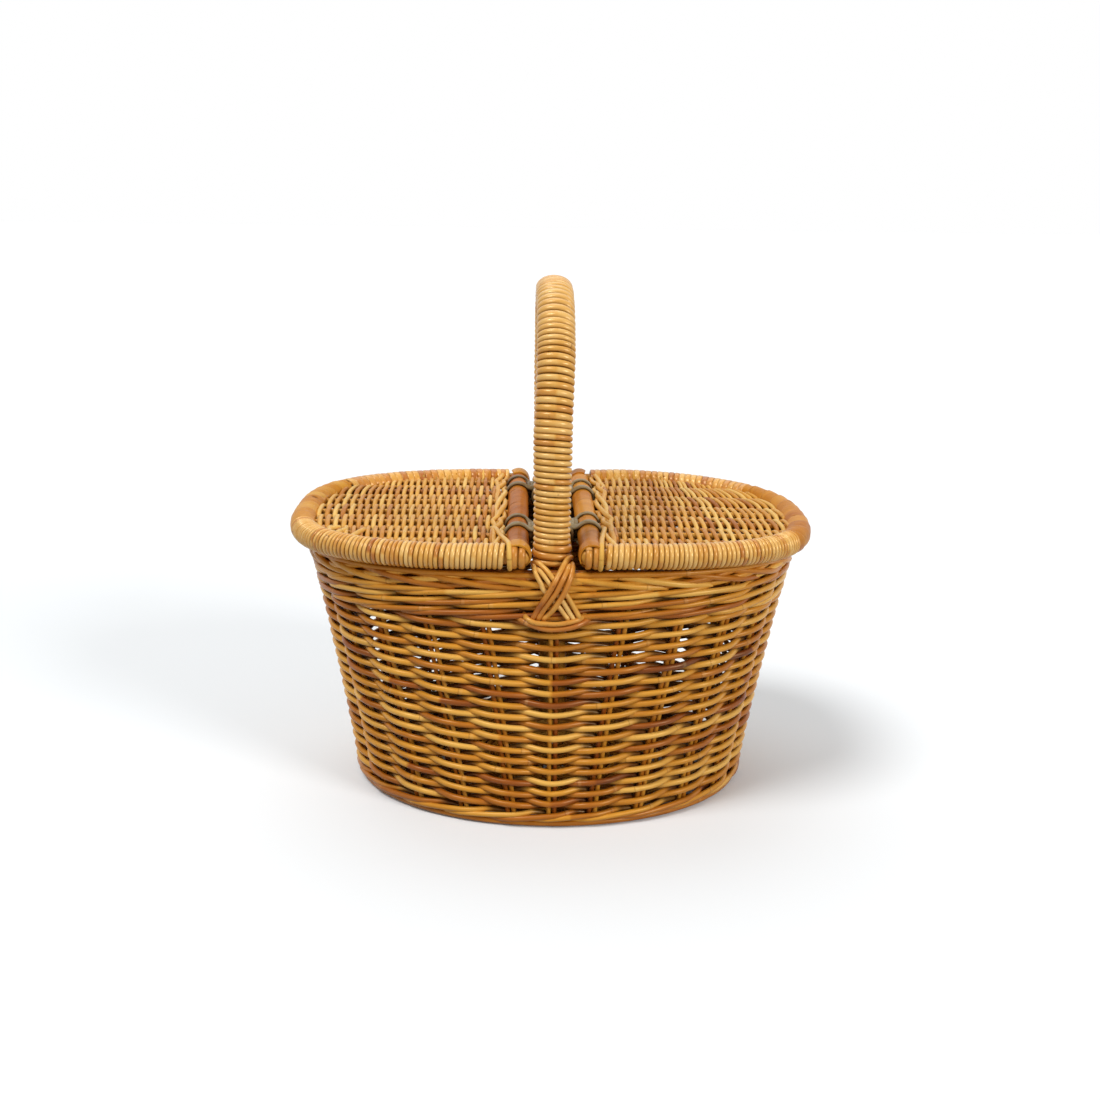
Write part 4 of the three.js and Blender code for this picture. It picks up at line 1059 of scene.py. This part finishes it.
    def make_spine_peel(self):
        peel = self.canes("spine_wrap")
        line = straight(self.side * SPINE_X, SPINE_HALF, HINGE_Z)
        cracks = [(SPINE_HALF + y, *crack, 1.0) for y, *crack in SPINE_CRACKS[self.side]]
        peel_tube(peel, line, self.up, 0, 2 * SPINE_HALF, SPINE_SKIN, SPINE_TONE[self.side], 58.0,
                  steps=1.1, edge=0.45, ends=0.2, tone_drift=0.06, cracks=cracks)
        for way in (-1, 1):
            self.hood(peel, way, HOOD_TONE[self.side])
        self.finish(peel, "peel_wrap", "spine_skin")

    def hood(self, peel, way, tone):
        """The end of the peel, which reaches over the loops and down their inner side."""
        y0, y1 = SPINE_HALF - 6.0, SPINE_HALF + 13.0
        rings = []
        for t in np.arange(12) / 11:
            span = lerp(215, 150, smooth((t - 0.25) * 1.6))
            theta = np.radians(np.linspace(62 - 10 * t, 62 - 10 * t + span, 26))
            if self.side < 0:
                theta = np.pi - theta
            radius = SPINE_SKIN + 0.9 + 0.5 * math.sin(math.pi * t)
            shell = []
            for r, angles in ((radius, theta), (radius - 1.0, theta[::-1])):
                x = self.side * SPINE_X + r * np.cos(angles) * 1.02
                z = HINGE_Z + r * np.sin(angles)
                y = way * (lerp(y0, y1, t) + 1.2 * np.sin(2 * angles))
                shell.append(np.stack([x, y, z], -1))
            rings.append(np.vstack(shell))
        points = np.array(rings)
        if way * self.side < 0:
            points = points[:, ::-1]
        grain = points * (1, 1, 0.3) + peel.rng.uniform(0, 300, 3)
        # A bare of 0.95 paints a little shade on the hood.
        peel.grid(points, tone - 0.05, 0.95, grain)

    def bands(self):
        """Where the bands of the lashings lie on the spine, and their half widths."""
        return [(on_spine * SPINE_HALF + way * LASH_SPREAD, half)
                for on_spine, _ in LASHES[self.side] for way, half, _ in LASH_BANDS]

    def rib_shift(self, y):
        """How far a rib's end moves along the spine, so that it keeps clear of the lashings."""
        for place, _ in self.bands():
            if abs(y - place) < BAND_CLEARANCE:
                return math.copysign(BAND_CLEARANCE, y - place) - (y - place)
        return 0.0

    def make_panel(self):
        ribs = self.canes("ribs")
        inner = SPINE_X + SPINE_SKIN - 0.5
        for y in RIBS:
            x = np.linspace(inner, lid_edge(self.half_x - 3, abs(y) / (self.half_y - 3)), 44)
            sway = 1.2 * np.sin(x / 40 + y) * smooth((x - inner) / 40)
            sway = sway + self.rib_shift(y) * (1 - smooth((x - inner - 4) / 26))
            ribs.add(self.world(x, y + sway, WEAVE_Z), RIB_RADIUS, pick_tone(ribs.rng, 0.1),
                     wobble=0.03)
        self.finish(ribs, "frame_cane")

        weave = self.canes("weave")
        rng = weave.rng
        for k in range(int((self.half_x - 46) / COLUMN_PITCH)):
            tone = rng.choice(LID_PICKS[0], p=LID_PICKS[1]) + rng.normal(0, 0.04)
            x0 = 48.5 + COLUMN_PITCH * k
            y = np.linspace(-self.half_y, self.half_y + 4, 124)
            bow = -24.0 * max(0.0, (x0 - 100) / 95) ** 1.6 * np.abs(y / self.half_y) ** 2.2
            bow = bow + LID_SKEW[self.side] * smooth((x0 - 70) / 110) * y / self.half_y
            x = x0 + bow + 0.25 * weave.drift(len(y), 14)
            over_rim = k % 2 == 0
            past = self.half_y - self.edge_y(x, 0.0)
            inside = (-y < self.edge_y(x, 4.0)) & (y < self.edge_y(x, -2.0 if over_rim else 4.0))
            if inside.sum() < 18:
                continue
            x, y, past = x[inside], y[inside], past[inside]
            wave = np.tanh(1.5 * np.cos(math.pi * (y / RIB_PITCH + k))) / math.tanh(1.5)
            z = WEAVE_Z + LID_WAVE * wave
            z = lerp(np.full(len(y), WEAVE_Z + 1.5), z, smooth((y - y[0]) / 14))
            flat = np.ones(len(y))
            if over_rim:
                across = np.clip(y + past - self.half_y, -RIM_RADIUS, RIM_RADIUS)
                top = HINGE_Z + np.sqrt(RIM_RADIUS ** 2 - across ** 2)
                z = np.maximum(z, top - 1.9 - 6 * smooth((-across - 6.5) / 4))
                flat = lerp(1.0, 0.7, smooth((across + 9) / 4))
            else:
                z = lerp(np.full(len(y), WEAVE_Z - 2.0), z, smooth((y[-1] - y) / 12))
            # Painted shade darkens each weaver where it dips under a rib.
            weave.add(self.world(x, y, z), LID_WEAVER * rng.uniform(0.94, 1.05), tone,
                      thick=flat, bare=0.3 + 0.7 * smooth((wave + 1.4) / 1.5))
        if self.side < 0:
            for (xa, ya), (xb, yb) in TONGUES:
                t = np.linspace(0, 1, 9)
                y = lerp(ya, yb, t) + 1.5 * np.sin(3 * t)
                x = lerp(max(xa, -lid_edge(self.half_x - 4, abs(ya / self.half_y))), xb, t)
                weave.add(np.stack([x, y, WEAVE_Z + 4.6 - 1.2 * t ** 2], -1), 2.1,
                          0.12 + rng.normal(0, 0.04))
        self.finish(weave, "weaver_cane", "panel", look="lid_cane")

    def make_plait(self):
        """The twisted strands beside the spine, and the one that crosses to the front rim."""
        canes = self.canes("plait")
        y = np.linspace(-self.half_y + 7, self.half_y - 8, 190)
        x = np.full(len(y), SPINE_X + SPINE_SKIN + PLAIT_GAP)
        for place, half in self.bands():
            x = x + 2.2 * np.exp(-((y - place) / (half + 4)) ** 2)
        for phase in range(3):
            turn = 2 * math.pi * (y / PLAIT_PITCH + phase / 3)
            path = self.world(x + PLAIT_TWIST[0] * np.cos(turn), y,
                              WEAVE_Z + PLAIT_LIFT + PLAIT_TWIST[1] * np.sin(turn))
            canes.add(path, 2.15, 0.1 + 0.1 * phase + canes.rng.normal(0, 0.03), wobble=0.04)
        round_it = np.radians((88, 62, 36, 10, -16, -42, -66))
        over = np.column_stack([
            np.linspace(34.2, 33.4, 7), self.half_y + OVER_RIM * np.cos(round_it),
            HINGE_Z + OVER_RIM * np.sin(round_it)])
        way = np.array(CROSSING[self.side])
        heights = np.interp(way[:, 1], *CROSSING_HEIGHT)
        path = soft_path(np.vstack([np.column_stack([way, heights]), over]), 7)
        canes.add(path * (self.side, -1, 1), 1.95, 0.14, wobble=0.02)
        self.finish(canes, "weaver_cane", look="lid_cane")

    def make(self):
        self.make_frame()
        self.make_winding()
        self.make_end_peel()
        self.make_spine_peel()
        self.make_panel()
        self.make_plait()


make_wall()
make_borders()
make_base()
make_handle()
make_bindings()
make_hinges()
Lid("left_lid", -1).make()
Lid("right_lid", 1).make()


# Studio

FLOOR_SEEN = (0.9, 0.925, 0.94)
FLOOR_BOUNCE = (0.36, 0.36, 0.36)
FLOOR_GLOW = (0.03, 0.03, 0.03, 1)
FLOOR_REACH = 12.0
LENS = 48.8
CAMERA_AT = (-0.0262, -1.2098, 0.498)
CAMERA_TURN = (14.3, 1.2, 0.75)  # down, to the right, and rolled, in degrees


def make_floor():
    """A floor that looks pale and evenly lit, but throws little light up on the basket."""
    mesh = bpy.data.meshes.new("floor")
    far = FLOOR_REACH
    mesh.from_pydata([(-far, -far, 0), (far, -far, 0), (far, far, 0), (-far, far, 0)], [],
                     [(0, 1, 2, 3)])
    floor = bpy.data.objects.new("floor", mesh)
    bpy.context.scene.collection.objects.link(floor)
    sh = Shader(bpy.data.materials.new("floor"))
    seen = sh.seen()
    glow = sh.node("ShaderNodeEmission", Strength=1.0, Color=FLOOR_GLOW)
    none = sh.node("ShaderNodeEmission", Strength=0.0)
    pick = sh.node("ShaderNodeMixShader", i0=seen, i1=none.outputs[0], i2=glow.outputs[0])
    diffuse = sh.node("ShaderNodeBsdfDiffuse", Color=sh.mix(seen, FLOOR_BOUNCE, FLOOR_SEEN))
    total = sh.node("ShaderNodeAddShader", i0=pick.outputs[0], i1=diffuse.outputs[0])
    sh.feed(sh.tree.nodes["Material Output"], "Surface", total.outputs[0])
    mesh.materials.append(sh.owner)


def make_world(strength):
    """A white surrounding, which lights the basket with this strength only."""
    world = bpy.data.worlds.new("studio")
    bpy.context.scene.world = world
    sh = Shader(world)
    sh.tree.nodes.clear()
    dim = sh.node("ShaderNodeBackground", Color=(1, 1, 1, 1), Strength=strength)
    white = sh.node("ShaderNodeBackground", Color=(1, 1, 1, 1))
    mix = sh.node("ShaderNodeMixShader", i0=sh.seen(), i1=dim.outputs[0], i2=white.outputs[0])
    sh.node("ShaderNodeOutputWorld", Surface=mix.outputs[0])


def add_sun(name, toward, strength, soft):
    light = bpy.data.lights.new(name, "SUN")
    light.energy = strength
    light.angle = math.radians(soft)
    lamp = bpy.data.objects.new(name, light)
    lamp.rotation_euler = Vector(toward).to_track_quat("-Z", "Y").to_euler()
    bpy.context.scene.collection.objects.link(lamp)


def make_camera():
    pitch, yaw, roll = (math.radians(v) for v in CAMERA_TURN)
    ahead = Vector((math.sin(yaw) * math.cos(pitch), math.cos(yaw) * math.cos(pitch),
                    -math.sin(pitch)))
    right = Vector((math.cos(yaw), -math.sin(yaw), 0))
    up = right.cross(ahead)
    turned_right = right * math.cos(roll) + up * math.sin(roll)
    turned_up = up * math.cos(roll) - right * math.sin(roll)
    data = bpy.data.cameras.new("camera")
    data.sensor_fit = "HORIZONTAL"
    data.sensor_width = 36.0
    data.lens = LENS
    data.clip_start = 0.05
    camera = bpy.data.objects.new("camera", data)
    columns = Matrix((turned_right, turned_up, -ahead)).transposed()
    camera.matrix_world = Matrix.Translation(CAMERA_AT) @ columns.to_4x4()
    bpy.context.scene.collection.objects.link(camera)
    bpy.context.scene.camera = camera


make_floor()
make_world(0.34)
add_sun("key", (0.5, 0.45, -1.1), 1.6, 22)
add_sun("side", (-0.75, 0.7, -0.42), 1.5, 20)
add_sun("behind", (0.15, -0.55, -1.0), 0.65, 50)
make_camera()
bpy.context.scene.view_settings.view_transform = "Standard"
